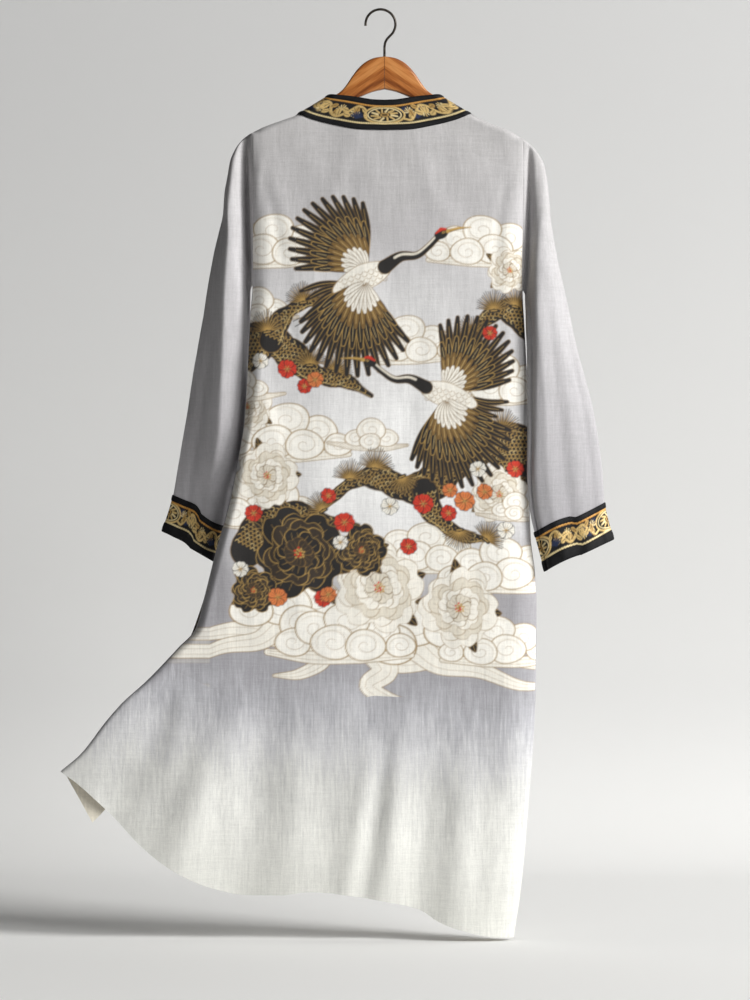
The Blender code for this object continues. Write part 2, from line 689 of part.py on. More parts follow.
def make_hanger_half(name, sign, socket, mat):
    """Flat wooden arm with rounded edges, and half of the socket for the hook's stem."""
    outline = HANGER_TOP + HANGER_FOOT
    mesh = bmesh.new()
    half = HANGER_THICK / 2.0
    front = []
    for distance, drop in outline:
        front.append(mesh.verts.new(world(sign * max(distance, HALF_GAP), -half, drop)))
    face = mesh.faces.new(front)
    pushed = bmesh.ops.extrude_face_region(mesh, geom=[face])
    moved = [item for item in pushed["geom"] if isinstance(item, bmesh.types.BMVert)]
    bmesh.ops.translate(mesh, verts=moved, vec=Vector((0.0, HANGER_THICK * MM, 0.0)))
    bmesh.ops.recalc_face_normals(mesh, faces=mesh.faces)
    joint = (CENTRE_X + sign * HALF_GAP) * MM
    rim = []
    for edge in mesh.edges:
        a, b = edge.verts
        same_face = abs(a.co.y - b.co.y) < HALF_GAP * MM
        at_joint = abs(a.co.x - joint) < 0.1 * MM and abs(b.co.x - joint) < 0.1 * MM
        if same_face and not at_joint:
            rim.append(edge)
    bmesh.ops.bevel(
        mesh, geom=rim, offset=HANGER_ROUND * MM, segments=2, profile=0.5, affect="EDGES"
    )
    obj = finish_mesh(name, mesh, mat)
    cut = obj.modifiers.new("socket", "BOOLEAN")
    cut.operation = "DIFFERENCE"
    cut.object = socket
    return obj


def make_socket_cutter():
    mesh = bmesh.new()
    bmesh.ops.create_cone(
        mesh, cap_ends=True, segments=16, radius1=(WIRE_RADIUS + GAP) * MM,
        radius2=(WIRE_RADIUS + GAP) * MM, depth=(SOCKET_FOOT - SOCKET_TOP) * MM,
    )
    data = bpy.data.meshes.new("hook_socket_cutter")
    mesh.to_mesh(data)
    mesh.free()
    obj = bpy.data.objects.new("hook_socket_cutter", data)
    obj.location = world(0.0, 0.0, (SOCKET_TOP + SOCKET_FOOT) / 2.0)
    obj.hide_render = True
    obj.display_type = "WIRE"
    bpy.context.scene.collection.objects.link(obj)
    return obj


def hook_route():
    """Centre line of the wire from its free end, over the top and down into the wood."""
    centre_drop = HOOK_RADIUS - WIRE_RADIUS
    points = []
    first, last = HOOK_DEGREES
    for degrees in range(first, last - 1, HOOK_STEP_DEGREES):
        angle = math.radians(degrees)
        x = HOOK_RADIUS * math.cos(angle)
        points.append((x, centre_drop - HOOK_RADIUS * math.sin(angle)))
    return points + HOOK_NECK + [(CENTRE_X, STEM_FOOT)]


def make_hook(mat):
    curve = bpy.data.curves.new("hook", "CURVE")
    curve.dimensions = "3D"
    curve.bevel_depth = WIRE_RADIUS * MM
    curve.bevel_resolution = 2
    curve.use_fill_caps = True
    spline = curve.splines.new("POLY")
    route = hook_route()
    spline.points.add(len(route) - 1)
    for point, (x, drop) in zip(spline.points, route):
        point.co = (x * MM, 0.0, -drop * MM, 1.0)
    spline.use_smooth = True
    curve.materials.append(mat)
    obj = bpy.data.objects.new("hook", curve)
    bpy.context.scene.collection.objects.link(obj)
    return obj


def main():
    clear_scene()
    linen = material("linen", LINEN_COLOUR, 0.85)
    brocade = material("brocade", BROCADE_COLOUR, 0.5, 0.4)
    binding = material("binding", BINDING_COLOUR, 0.7)
    wood = material("wood", WOOD_COLOUR, 0.35)
    steel = material("steel", STEEL_COLOUR, 0.35, 0.9)

    make_back_left(linen)
    make_back_right(linen)
    make_front("front_left", True, linen)
    make_front("front_right", False, linen)
    make_sleeve("left", LEFT_SLEEVE, linen, brocade, binding)
    make_sleeve("right", RIGHT_SLEEVE, linen, brocade, binding)

    lines = collar_lines()
    edge = EDGE_BINDING
    make_collar("collar_edge_neck", [lambda w: 0.0, lambda w: edge / w], binding, lines)
    band_cuts = [
        lambda w: (edge + GAP) / w,
        lambda w: 0.5,
        lambda w: 1.0 - (edge + GAP) / w,
    ]
    make_collar("collar_band", band_cuts, brocade, lines)
    make_collar("collar_edge_body", [lambda w: 1.0 - edge / w, lambda w: 1.0], binding, lines)

    socket = make_socket_cutter()
    make_hanger_half("hanger_left", -1.0, socket, wood)
    make_hanger_half("hanger_right", 1.0, socket, wood)
    make_hook(steel)


main()
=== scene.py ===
import math

import bmesh
import bpy
import numpy as np
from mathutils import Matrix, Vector

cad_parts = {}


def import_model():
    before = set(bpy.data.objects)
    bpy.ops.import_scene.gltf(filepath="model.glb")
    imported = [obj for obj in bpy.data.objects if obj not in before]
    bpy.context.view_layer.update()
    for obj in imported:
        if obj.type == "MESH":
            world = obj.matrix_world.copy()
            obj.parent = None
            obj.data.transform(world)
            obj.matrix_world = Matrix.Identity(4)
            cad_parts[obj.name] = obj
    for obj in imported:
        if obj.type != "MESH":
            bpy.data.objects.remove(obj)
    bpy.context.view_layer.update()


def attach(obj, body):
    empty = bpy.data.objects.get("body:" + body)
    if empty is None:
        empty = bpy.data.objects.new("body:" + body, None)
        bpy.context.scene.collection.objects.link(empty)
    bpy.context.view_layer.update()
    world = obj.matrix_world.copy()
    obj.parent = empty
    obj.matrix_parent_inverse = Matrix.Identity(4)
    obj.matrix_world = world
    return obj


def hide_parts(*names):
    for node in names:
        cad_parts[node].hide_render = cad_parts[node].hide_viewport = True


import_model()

# All tables are in millimetres: x from the garment's centre line, drop down from the
# hang point. They repeat the solids' own tables, so every piece lies on its solid.
MM = 0.001
CENTRE_X = 6.0
# Sewn seam, least half depth, the cloth's thickness and how far it runs under a band
GAP = 0.3
SEAM_DEPTH = 0.02
CLOTH = 0.6
UNDER_BAND = 3.0
# Edges sharper than this aren't shaded smooth
SHARP = math.radians(40.0)

# Mesh spacing of the cloth, in millimetres: close to edges, then an even pitch
PANEL_PITCH = 5.0
EDGE_ROWS = [0, 0.5, 1.1, 1.9, 2.9, 4.1, 5.5, 7.2, 9.5, 12.5, 16, 20]
EDGE_COLUMNS = [0, 0.6, 1.4, 2.5, 4, 6, 8.5, 11.5, 15, 19, 23.5, 28]
HEM_ROWS = [30, 27, 25, 23.6, 22.6, 21.6, 20.4, 18, 14, 9, 5, 2.5, 1, 0]
CURL_STEPS = 34
CURL_KEPT = 24.0
SLEEVE_END = 620.0

# Top and hem of the cloth at its right side, top of the side slits, ends of the shoulders, and
# where the band's two edges cross them
CLOTH_TOP = 190.0
CLOTH_HEM = 1393.5
SLIT_TOP = 886.0
LEFT_SHOULDER_X = -198.8
RIGHT_SHOULDER_X = 208.5
NECK_HALF = 82.4
COLLAR_HALF = 130.6
NECK_SHOULDER_DROP = 127.0
BAND_SHOULDER_DROP = 156.0

# Shoulder ridge: x, drop
RIDGE = [
    (-198.8, 183.8), (-181.7, 175.2), (-155.7, 165.5), (-130.6, 156),
    (-107.3, 142.2), (-82.4, 127), (-59.3, 113.8), (-33.8, 102.8),
    (0, 98.3), (33.8, 102.8), (59.3, 113.8), (82.4, 127),
    (107.3, 142.2), (130.6, 156), (159.8, 169.6), (185.9, 180),
    (208.5, 193),
]
# Left side line, the fold of the blown skirt below the slit: cloth, x, drop
LEFT_SIDE = [
    (190, -198.8, 183.8), (300, -198.8, 300), (414, -198.8, 414),
    (468, -203, 468), (616, -211, 616), (676, -220.5, 676),
    (737, -232.4, 737), (814, -253.8, 814), (886, -271.5, 884),
    (949, -284, 930), (1009, -309.8, 958.5), (1120, -360, 1014),
    (1232, -410, 1069.5), (1331, -450, 1121), (1393.5, -481, 1148),
]
# Right side line: cloth, x, drop
RIGHT_SIDE = [
    (190, 208.5, 193), (300, 208.5, 302), (421, 208, 422),
    (470, 210.4, 470), (520, 213.2, 520), (600, 216.5, 600),
    (700, 217.5, 700), (790, 220, 790), (845, 226.5, 845),
    (886, 229, 886), (1006, 228, 1006), (1093, 224.3, 1093),
    (1179, 217.7, 1179), (1317, 205.7, 1317), (1393.5, 194.5, 1393.5),
]
# Centre-back seam: cloth, x, drop
BACK_SEAM = [
    (190, 0, 182.1), (800, 0, 790), (1000, -8, 972),
    (1200, -38, 1152), (1393.5, -75, 1326),
]
# Back hem, from the blown corner to the centre seam: x, drop
HEM_LEFT = [
    (-481, 1148), (-460, 1163), (-434, 1186.5), (-402.8, 1216.5),
    (-362.3, 1258.5), (-309.8, 1296), (-258.8, 1318.5), (-206.3, 1329),
    (-155.3, 1329), (-113.9, 1324), (-75, 1326),
]
# Back hem, from the centre seam to the right corner: x, drop
HEM_RIGHT = [
    (-75, 1326), (-9.8, 1335.9), (51.8, 1350), (80.3, 1368),
    (114.8, 1381), (165.8, 1392), (194.5, 1393.5),
]
# Left front's side line: cloth, x, drop
FRONT_LEFT_SIDE = LEFT_SIDE[:9] + [
    (1009, -300, 960), (1200, -345, 1040), (1393.5, -385, 1110),
]
# Right front's side line: cloth, x, drop
FRONT_RIGHT_SIDE = RIGHT_SIDE[:10] + [
    (1006, 226, 1003), (1179, 214, 1172), (1393.5, 188, 1368),
]
# Front hems, from each side to the collar band: x, drop
FRONT_HEM_LEFT = [
    (-385, 1110), (-330, 1200), (-250, 1268), (-150, 1298),
    (-49, 1305),
]
FRONT_HEM_RIGHT = [
    (188, 1368), (110, 1350), (49, 1318),
]
# Neck edge and outer edge of the collar band on the back: distance from centre, drop
BACK_NECK = [
    (0, 135.6), (16, 134.9), (36, 131.9), (56, 129), (82.4, 127),
]
BACK_BAND = [
    (0, 181.8), (36, 180.4), (76, 173.4), (107, 165.5), (130.6, 156),
]
# The band's two edges on the fronts: drop, distance from centre
FRONT_NECK = [
    (127, 82.4), (250, 55), (350, 33), (440, 13.5), (500, 4),
    (560, 2), (1400, 2),
]
FRONT_BAND = [
    (156, 130.6), (250, 107), (350, 84), (440, 63.5), (500, 52.5),
    (560, 49), (1400, 49),
]
# Depth that the body gains below the rounded shoulder: distance below the ridge, depth
BODY_DEPTH = [
    (0, 0), (8, 0), (60, 3), (200, 9), (450, 13),
    (700, 15), (1000, 17), (1300, 18),
]
SHOULDER_ROUND = 12.0
SHOULDER_DROP = 8.0
SIDE_ROUND = 30.0
# Half depth of the armhole: distance below its top, half depth
ARMHOLE_DEPTH = [
    (0, 8.5), (50, 8.5), (100, 5.5), (160, 3.6), (230, 3.4),
]
ARMHOLE_LENGTH = 229.0
ARMHOLE_END = 5.0
LEFT_ARM_TOP = 183.8
RIGHT_ARM_TOP = 193.0
SLIT_OPENING = 5.0
SLIT_RUN = 160.0

# Folds: x top, drop top, x foot, drop foot, height, half width top, half width foot
BACK_FOLDS = [
    (35, 1030, -14, 1345, 7, 15, 34),
    (10, 1080, -34, 1340, -6, 11, 20),
    (-13, 1060, -56, 1335, 5, 11, 22),
    (-203, 1000, -322, 1290, 9, 22, 42),
    (-168, 1020, -215, 1330, -8, 24, 45),
    (-277, 940, -395, 1180, -6, 24, 34),
    (128, 1050, 106, 1385, 6, 26, 36),
    (80, 1060, 50, 1355, -4, 22, 28),
]
FRONT_FOLDS = [
    (-140, 700, -190, 1290, 8, 24, 36),
    (-95, 780, -110, 1300, -6, 22, 30),
    (-220, 940, -310, 1215, -7, 22, 34),
    (130, 720, 118, 1355, 8, 24, 30),
    (90, 800, 80, 1335, -5, 20, 24),
    (175, 900, 162, 1360, -5, 18, 20),
]
# Share of a fold's length over which it grows to its full height
FOLD_GROWTH = 0.6

# Blown skirt, and the curl of its corner
FLARE_START_X = -205.0
FLARE_REACH = 282.0
FLARE_CURVE = 1.5
FLARE_DEPTH = 12.0
FLARE_TOP = 850.0
FLARE_RUN = 350.0
CURL_RADIUS = 7.0
CURL_WIDTH = 72.0
CURL_TOP = 930.0
CURL_SLIP = 0.9
CURL_SAMPLE = 0.02

# Left sleeve: along, outer x, outer drop, inner x, inner drop, half depth, outer y, inner y
LEFT_SLEEVE = [
    (0, -199.1, 183.8, -199.1, 412.8, 8.5, 0, 0),
    (12, -207.8, 188.3, -199.9, 414, 9.5, 0, 0),
    (24, -217.5, 198, -200.5, 415.4, 12, 0, 0),
    (36, -224, 207.8, -201, 416.8, 14, 0, 0),
    (56, -232, 225.6, -201.5, 418.8, 17, 0.5, 0.5),
    (82, -236.5, 249, -201.9, 421.2, 20, 1, 1.5),
    (106, -240.8, 273, -202.2, 425.5, 22, 2, 3.5),
    (140, -243.5, 307.5, -202.4, 434, 24, 4, 7),
    (170, -249.8, 334.5, -202.5, 447, 26, 6.5, 11),
    (200, -256.5, 361.5, -202.8, 465, 27, 9, 15),
    (245, -264.8, 406.5, -203.6, 492, 27, 12, 18),
    (296, -272.9, 456, -205.4, 526, 26, 15, 20),
    (344, -281.3, 504, -207.2, 566, 25, 18, 22),
    (385, -288.8, 544.5, -208.4, 606, 24, 20.5, 24),
    (424, -294.8, 583.5, -211, 646, 22, 24, 28),
    (458, -299.7, 616.5, -217, 683, 20, 28, 34),
    (510, -309.8, 670.5, -227, 725, 17, 33, 42),
    (560, -319.7, 729, -237.8, 777, 15, 37, 48),
    (620, -336.5, 784.5, -253, 833.5, 15, 39, 50),
]
# Right sleeve, with the same columns
RIGHT_SLEEVE = [
    (0, 208.8, 193, 208.8, 422, 8.5, 0, 0),
    (14, 221, 203, 209.6, 423.2, 9.5, 0, 0),
    (32, 232.6, 217, 210.4, 424.6, 12, 0, -0.5),
    (52, 241, 235.5, 211.1, 426.4, 15, 0, -1.5),
    (88, 246.8, 271.5, 211.4, 429.5, 20, 0, -4),
    (134, 250.8, 316.5, 211.6, 436, 24, 0, -8),
    (172, 256.5, 354, 212, 447, 26, -1, -12),
    (214, 264.8, 394.5, 212.8, 466, 28, -2, -15),
    (272, 277.5, 453, 213.9, 504, 26, -3, -18),
    (330, 290.3, 511.5, 214.2, 553.5, 22, -5, -20),
    (376, 302.3, 556.5, 214.2, 601.5, 19, -7, -21),
    (412, 311.3, 589.5, 214, 640.5, 17, -8, -22),
    (468, 321, 646.5, 213.6, 697.5, 15, -9, -22),
    (520, 328.2, 702, 217, 748.5, 14, -9, -22),
    (560, 330.6, 740.1, 224.5, 784.5, 13, -9, -22),
    (620, 344.1, 796.2, 240, 844.2, 13, -9, -20),
]
SLEEVE_LENGTH = 560.0
# Cuff pieces: name, start, end, measured along the sleeve
CUFF_PIECES = [
    ("cuff_edge_top", 560, 568.5),
    ("cuff_band", 568.5, 604.5),
    ("cuff_edge_hem", 604.5, 620),
]
ARMHOLE_BLEND = 50.0
SECTION_POWER = 2.4
NORMAL_STEP = 0.4
# A distance inside the side at which its rounding no longer counts
WELL_INSIDE = 1000.0
EDGE_BINDING = 8.5

# Hanger: thickness, rounded edge, pitch of its smooth outline and how far out that goes, gap
# and dark line at its joint; then the wire, the round that it makes, and its foot in the wood
HANGER_THICK = 12.0
HANGER_ROUND = 3.4
HANGER_PITCH = 3.0
HANGER_CORNER = 174.0
JOINT_GAP = 0.03
JOINT_LINE = 0.45
WIRE_RADIUS = 1.9
HOOK_RADIUS = 22.5
HOOK_DEGREES = (186, -18)
STEM_FOOT = 86.5
# Wire below its round: x from the hang point, drop
HOOK_NECK = [
    (18.6, 33.4), (13.8, 38.6), (9.4, 43.6), (7, 48.8), (6.1, 54.5), (6, 61),
]
# Left half's outline: distance from centre, drop
HANGER_TOP = [
    (0, 69), (14, 71), (27, 76.5), (38, 85.5), (48, 98),
    (57, 111.5), (65, 121), (73, 126.5), (84, 131), (107.3, 145.2),
    (130.6, 159), (155.7, 170.6), (172, 177.6), (180, 182.2),
]
HANGER_FOOT = [
    (183.5, 187), (182, 193), (174, 195), (158, 190), (130, 177.5),
    (100, 161), (72, 147), (52, 137), (34, 129), (16, 122),
    (0, 118.5),
]

# Small creases of the back: x start, drop start, x end, drop end, bow, height, width
BACK_CREASES = [
    (-188, 232, -150, 420, 6, -1.3, 9),
    (-182, 205, -196, 330, -3, 1.2, 7),
    (190, 225, 166, 430, -7, -1.2, 9),
    (198, 240, 200, 395, 3, 1, 6),
    (-60, 196, -96, 330, 8, 0.8, 12),
    (58, 198, 84, 316, -6, 0.8, 11),
    (-178, 430, -120, 560, 12, -1.1, 10),
    (-196, 470, -150, 690, -9, 1.3, 12),
    (196, 450, 140, 590, -10, -1.1, 9),
    (204, 520, 172, 720, 8, 1.2, 11),
    (-20, 330, -44, 610, 9, 0.7, 14),
    (64, 420, 40, 690, -8, -0.7, 13),
    (-212, 700, -168, 900, 10, -1.5, 13),
    (-226, 760, -232, 980, -8, 1.4, 12),
    (-120, 760, -142, 1010, 8, 0.9, 15),
    (208, 780, 176, 1010, -9, -1.3, 12),
    (96, 800, 112, 1040, 7, 0.9, 13),
    (-300, 985, -344, 1205, 9, 1.6, 12),
    (-352, 1030, -412, 1165, -7, -1.4, 11),
    (-256, 1080, -262, 1290, 8, -1.5, 12),
    (-118, 1090, -134, 1310, -6, 1.3, 12),
    (-84, 1150, -92, 1322, 4, -1, 8),
    (16, 1170, 4, 1334, 4, 1, 8),
    (74, 1150, 60, 1352, 5, 1.1, 10),
    (150, 1120, 142, 1384, -6, -1.2, 12),
    (196, 1060, 176, 1380, 5, 1.2, 10),
    (212, 1150, 150, 1236, 5, -0.8, 7),
    (190, 1226, 120, 1300, -6, 0.8, 8),
]
# Small creases of the fronts, with the same columns
FRONT_CREASES = [
    (-176, 240, -140, 430, 6, -1.2, 9),
    (178, 246, 150, 440, -6, -1.2, 9),
    (-186, 470, -150, 700, -8, 1.3, 12),
    (196, 470, 150, 690, 9, 1.3, 12),
    (-112, 430, -96, 720, 7, 0.9, 13),
    (110, 470, 92, 760, -7, -0.9, 13),
    (-214, 760, -190, 990, 9, -1.4, 12),
    (-70, 820, -78, 1150, 6, 1, 11),
    (208, 800, 190, 1060, -8, 1.2, 12),
    (72, 880, 66, 1230, -5, 1.1, 11),
    (-262, 1000, -292, 1216, 8, 1.5, 12),
    (-150, 1060, -160, 1284, -7, -1.2, 12),
    (150, 1090, 146, 1350, 6, -1.2, 12),
    (104, 1130, 98, 1340, -5, 1, 9),
]
# Lengthwise folds of a sleeve: share of a turn at the start and the end, from, to, height, width
LEFT_SLEEVE_FOLDS = [
    (0.412, 0.430, 30, 560, -3, 0.028),
    (0.150, 0.165, 260, 620, -0.9, 0.030),
    (0.780, 0.800, 120, 620, 2.6, 0.030),
    (0.855, 0.850, 150, 600, -2.4, 0.022),
    (0.620, 0.640, 60, 480, 1.8, 0.024),
]
RIGHT_SLEEVE_FOLDS = [
    (0.420, 0.440, 15, 330, -6, 0.034),
    (0.190, 0.205, 120, 600, 1.2, 0.030),
    (0.262, 0.250, 150, 620, -1.2, 0.026),
    (0.330, 0.318, 240, 620, 1.4, 0.024),
    (0.120, 0.130, 200, 620, -1, 0.022),
    (0.700, 0.715, 90, 540, 2, 0.028),
    (0.800, 0.790, 150, 620, -2, 0.026),
]
# Section on the side that the back view shows: along, ridge's share, power, outer and inner
# root, how far the ridge rises above the solid's form
LEFT_FORM = [
    (0, 0.40, 2.4, 0.50, 0.50, 0), (60, 0.20, 2.2, 0.50, 0.42, 0),
    (110, 0.18, 1.9, 0.52, 0.40, 0), (168, 0.28, 1.4, 0.84, 0.42, 2),
    (246, 0.38, 1.25, 0.94, 0.42, 5), (322, 0.47, 1.2, 0.98, 0.42, 8),
    (395, 0.53, 1.15, 1.00, 0.42, 11), (467, 0.57, 1.15, 1.00, 0.38, 14),
    (540, 0.59, 1.3, 0.98, 0.42, 8), (620, 0.56, 1.8, 0.80, 0.60, 0),
]
RIGHT_FORM = [
    (0, 0.50, 2.4, 0.50, 0.50, 0), (60, 0.62, 2.2, 0.62, 0.45, 0),
    (120, 0.70, 2.1, 0.66, 0.42, 0), (400, 0.70, 2.1, 0.66, 0.45, 0),
    (620, 0.56, 2.1, 0.54, 0.54, 0),
]
# Valley beside the armhole seam: drop, distance from the centre line, half width, depth
LEFT_VALLEY = [
    (175, 206, 7, 6), (220, 207, 10, 18), (280, 207, 11, 23),
    (350, 207, 11, 23), (420, 206, 9, 19), (480, 205, 7, 13),
    (560, 205, 5, 6), (640, 207, 4, 0),
]
RIGHT_VALLEY = [
    (198, 215, 5, 3), (240, 216, 6, 11), (400, 217, 6, 11),
    (480, 217, 5, 6), (600, 217, 4, 0),
]
# How far the cuff's lines slip along the sleeve, from its outer to its inner edge: share, slip
LEFT_CUFF_SLIP = [
    (0, 0), (0.2, -2.6), (0.38, -4.8), (0.46, -2), (0.52, 3), (0.72, 4.6), (1, 0),
]
RIGHT_CUFF_SLIP = [
    (0, 0), (0.25, 2.4), (0.42, 3.4), (0.52, -1.6), (0.7, -3.6), (1, 0),
]
SLIP_START = 430.0
SLIP_CURVE = 1.5
HIDDEN_SLIP = 0.45
# Share of a crease over which it starts and ends, how far below the ridge the body is calm,
# share over which a sleeve's fold starts, and lengths over which it ends and its valley starts
CREASE_GROWTH = 0.3
CREASE_FADE = 0.4
RIDGE_CALM = 60.0
SLEEVE_FOLD_GROWTH = 0.35
SLEEVE_FOLD_FADE = 60.0
VALLEY_GROWTH = 14.0
# Down the cloth the left side's rounding grows tighter and the right's wider, from a drop on
SIDE_TIGHTER = 15.0
SIDE_WIDER = 22.0
SIDE_TIGHT_FROM = 480.0
SIDE_TIGHT_RUN = 180.0
# How far bands and bindings stand off the cloth, and a binding's own round and thickness
BAND_PROUD = 0.7
CUFF_PROUD = 0.6
BINDING_PROUD = 1.0
BINDING_ROUND = 0.8
BINDING_THICK = 0.25
# How far cloth runs on under a band or binding, and how the sleeve tucks into its armhole
LAP = 1.2
TUCK = 1.6
TUCK_INSET = 0.9
# Mesh counts of the sleeves and cuffs, and row pitches of the band: fronts, back
SLEEVE_COLUMNS = 88
SLEEVE_NEAR_ROWS = 20
SLEEVE_NEAR = 60.0
SLEEVE_ROWS = 104
CUFF_COLUMNS = 220
CUFF_ROWS = 40
CUFF_EDGE_ROWS = 12
COLLAR_PITCH = (3, 1.6)
COLLAR_COLUMNS = 7
COLLAR_WEAVE_PITCH = (1.25, 0.8)
COLLAR_WEAVE_COLUMNS = 30
WEAVE_LIFT = 0.15

# Fine ribs: radians for a metre that turn once a millimetre, the binding's rib, and the
# linen's weave, in millimetres
TURN_EACH_MM = 6283.0
BINDING_RIB = 1.3
WEAVE_PITCH = 0.95
# How the dye fades down the cloth, in metres: length, streaks, blotches and slant
FADE_LENGTH = 1.4
FADE_STREAK = 0.11
FADE_CLOUD = 0.09
FADE_SLANT = -0.07
# Dye down the cloth: drop, screen colour
DYE = [
    (150, (186, 184, 184)), (420, (185, 183, 185)), (640, (176, 174, 177)),
    (880, (158, 156, 160)), (1000, (162, 161, 166)), (1050, (178, 178, 183)),
    (1105, (200, 200, 202)), (1165, (211, 211, 208)), (1250, (222, 222, 217)),
    (1350, (217, 217, 211)),
]
# Inside of the cloth down its drop: its own warmer tone, made paler towards the hem as painted
# light where the inside lies in shade: drop, screen colour
INSIDE_DYE_AND_PAINTED_LIGHT = [
    (150, (186, 184, 180)), (640, (176, 172, 168)), (900, (176, 171, 164)),
    (1050, (216, 210, 196)), (1150, (240, 233, 216)),
]
# Slope of the wood's grain down each arm, in radians
GRAIN_TURN = 0.62

# Brocade: its repeat, width, cell size, and the repeats round a cuff
WEAVE_REPEAT = 156.0
WEAVE_WIDTH = 30.0
WEAVE_CELL = 0.4
CUFF_REPEATS = 2
# Leaves of the brocade: along the band from the rosette, across it, degrees, length
WEAVE_LEAVES = [
    (36, 22, -50, 9.6), (42, 20, -100, 10.8), (47, 13, 30, 12),
    (54, 8, -160, 10.8), (58, 7, 75, 10.8), (66, 8, 110, 12),
    (71, 12, -20, 10.8), (75, 17, 150, 10.8), (82, 22, -60, 10.8),
    (90, 23, -110, 12), (96, 19, 10, 10.8), (101, 14, -170, 10.8),
    (107, 8, 50, 10.8), (114, 6, 100, 12), (120, 7, 35, 9.6),
]
# Scroll of the brocade: along the band, across it
WEAVE_SCROLL = [
    (28, 22), (38, 24), (48, 14), (58, 6), (70, 10), (78, 20),
    (90, 24), (102, 14), (112, 5.5), (124, 8), (130, 20),
]
# Fans of the brocade: gold ones with their degrees, dark ones with their reach
WEAVE_FANS = [(38, 14, 90), (60, 14.5, -90), (89, 15, 90), (112, 13.5, -90)]
WEAVE_DARK_FANS = [(34, 10, 9), (47, 19, 9), (62, 9.5, 8), (-40, 18.5, 9)]

# Camera, and the stage in metres: floor, wall, the sweep between them and their edges
LENS = 144.0
CAMERA_PLACE = (-0.00825, -6.02, -0.7365)
FLOOR_Z = -1.398
STAGE_FRONT = -8.0
STAGE_HALF = 9.0
WALL_Y = 1.5
WALL_TOP = 3.2
SWEEP = 0.5
SWEEP_STEPS = 24
# Paper: height over which the wall darkens as painted shade, distance out at which the pale part
# ends
WALL_PAINTED_SHADE_HEIGHT = 1.7
PALE_REACH = 0.9
# Paper tones: the floor paler than the wall, and the wall darker towards its top, as painted light
# and shade
FLOOR_COLOUR = (0.84, 0.84, 0.83)
WALL_FOOT = (0.68, 0.68, 0.675)
WALL_COLOUR = (0.60, 0.60, 0.60)
FAR_COLOUR = (0.4, 0.4, 0.4)
# Room: what it lights, and how pale the camera sees it
ROOM_LIGHT = 0.015
ROOM_SEEN = 0.6
# Lights: name, place, target, width, height, power, colour
LIGHTS = [
    ("key", (8.46, -4.87, 3.7), (0, 0, -0.75), 3.6, 1.8, 1260, (1, 0.995, 0.98)),
    ("fill", (6, -7.7, 3.7), (0, 0, -0.75), 3.6, 2.4, 355, (1, 0.995, 0.98)),
]

# Print: its canvas in x and drop with its cell size, reach down the cloth, mesh counts, columns
# at its edge, how far it stands off the cloth and the rows over which it dips into it
PRINT_X = (-262, 246)
PRINT_DROP = (232, 1072)
PRINT_PITCH = 0.65
PRINT_TOP = 46.0
PRINT_FOOT = 884.0
PRINT_ROWS = 610
PRINT_COLUMNS = 148
PRINT_EDGE = [1.5, 2.4, 3.6, 5, 6.6]
PRINT_LIFT = 0.32
PRINT_TAPER = 14.0
# Bleached ground: x, drop, half width, half height, cover
PRINT_GROUND = [
    (-60, 560, 250, 240, 0.50),
    (70, 690, 230, 200, 0.80),
    (-60, 760, 230, 170, 0.45),
    (120, 470, 160, 150, 0.30),
]
# Kinds of cloud: lobes of offset x, offset drop, radius; tails of points and widths
CLOUD_KINDS = {
    "bank": (
        [(-64, 8, 17), (-36, -10, 20), (44, -6, 19), (70, 12, 14),
         (4, -20, 22), (-14, 8, 21), (26, 12, 19)],
        [([(-96, 20), (-40, 27), (20, 26), (84, 24)], [7, 15, 16, 6])],
    ),
    "puff": (
        [(-26, 4, 14), (26, 4, 13), (0, -10, 18), (2, 10, 13)],
        [([(-60, 16), (-20, 20), (30, 18), (72, 12)], [3, 11, 10, 3])],
    ),
    "stream": (
        [(-70, -2, 18), (-38, -16, 21), (0, -10, 24), (38, -4, 19),
         (-20, 12, 20)],
        [([(-70, 12), (-10, 28), (60, 20), (132, 36)], [16, 26, 19, 4]),
         ([(-40, 16), (-26, 38), (-44, 54), (-18, 70), (12, 72)],
          [30, 24, 18, 12, 2.5]),
         ([(8, 16), (30, 32), (70, 38), (112, 54), (150, 55)],
          [28, 21, 16, 10, 2.5])],
    ),
}
# Clouds behind and before the other motifs: place, as in the other tables, and kind
CLOUDS = [
    ((-170, 352, 1.05, 0), "bank"), ((150, 352, 1, 0, -1), "bank"),
    ((-190, 446, 1, 0, -1), "puff"), ((30, 500, 0.95, 0), "bank"),
    ((-150, 640, 1.15, 0), "bank"), ((170, 560, 1, 0), "bank"),
    ((-20, 640, 0.9, 0, -1), "puff"), ((-196, 742, 1.1, 0, -1), "bank"),
    ((60, 812, 1, 0), "bank"), ((178, 838, 1.1, 0, -1), "bank"),
    ((-150, 906, 1.3, 0, -1), "stream"), ((40, 936, 1.45, 0), "stream"),
    ((-60, 940, 1.2, 0), "bank"), ((170, 952, 1, 0, -1), "bank"),
]
CLOUDS_BEFORE = [
    ((-214, 566, 0.9, 0), "puff"), ((196, 748, 0.8, 0, -1), "puff"),
]
# Pine boughs: points of the branch, widths along it
BOUGHS = [
    ([(220, 676), (168, 648), (128, 660), (86, 702), (36, 722), (-10, 702),
      (-52, 712), (-92, 748)], [70, 62, 54, 48, 42, 32, 20, 7]),
    ([(60, 722), (74, 758), (112, 788), (156, 796)], [34, 28, 19, 6]),
    ([(-222, 520), (-176, 494), (-146, 514), (-108, 546), (-62, 556), (-20, 580)],
     [58, 50, 42, 33, 22, 6]),
    ([(-170, 498), (-152, 462), (-118, 440), (-84, 440)], [32, 25, 17, 5]),
    ([(220, 476), (186, 452), (156, 462), (126, 494)], [40, 34, 24, 7]),
    ([(-206, 812), (-182, 772), (-140, 758), (-96, 766), (-40, 776)],
     [46, 44, 35, 24, 7]),
]
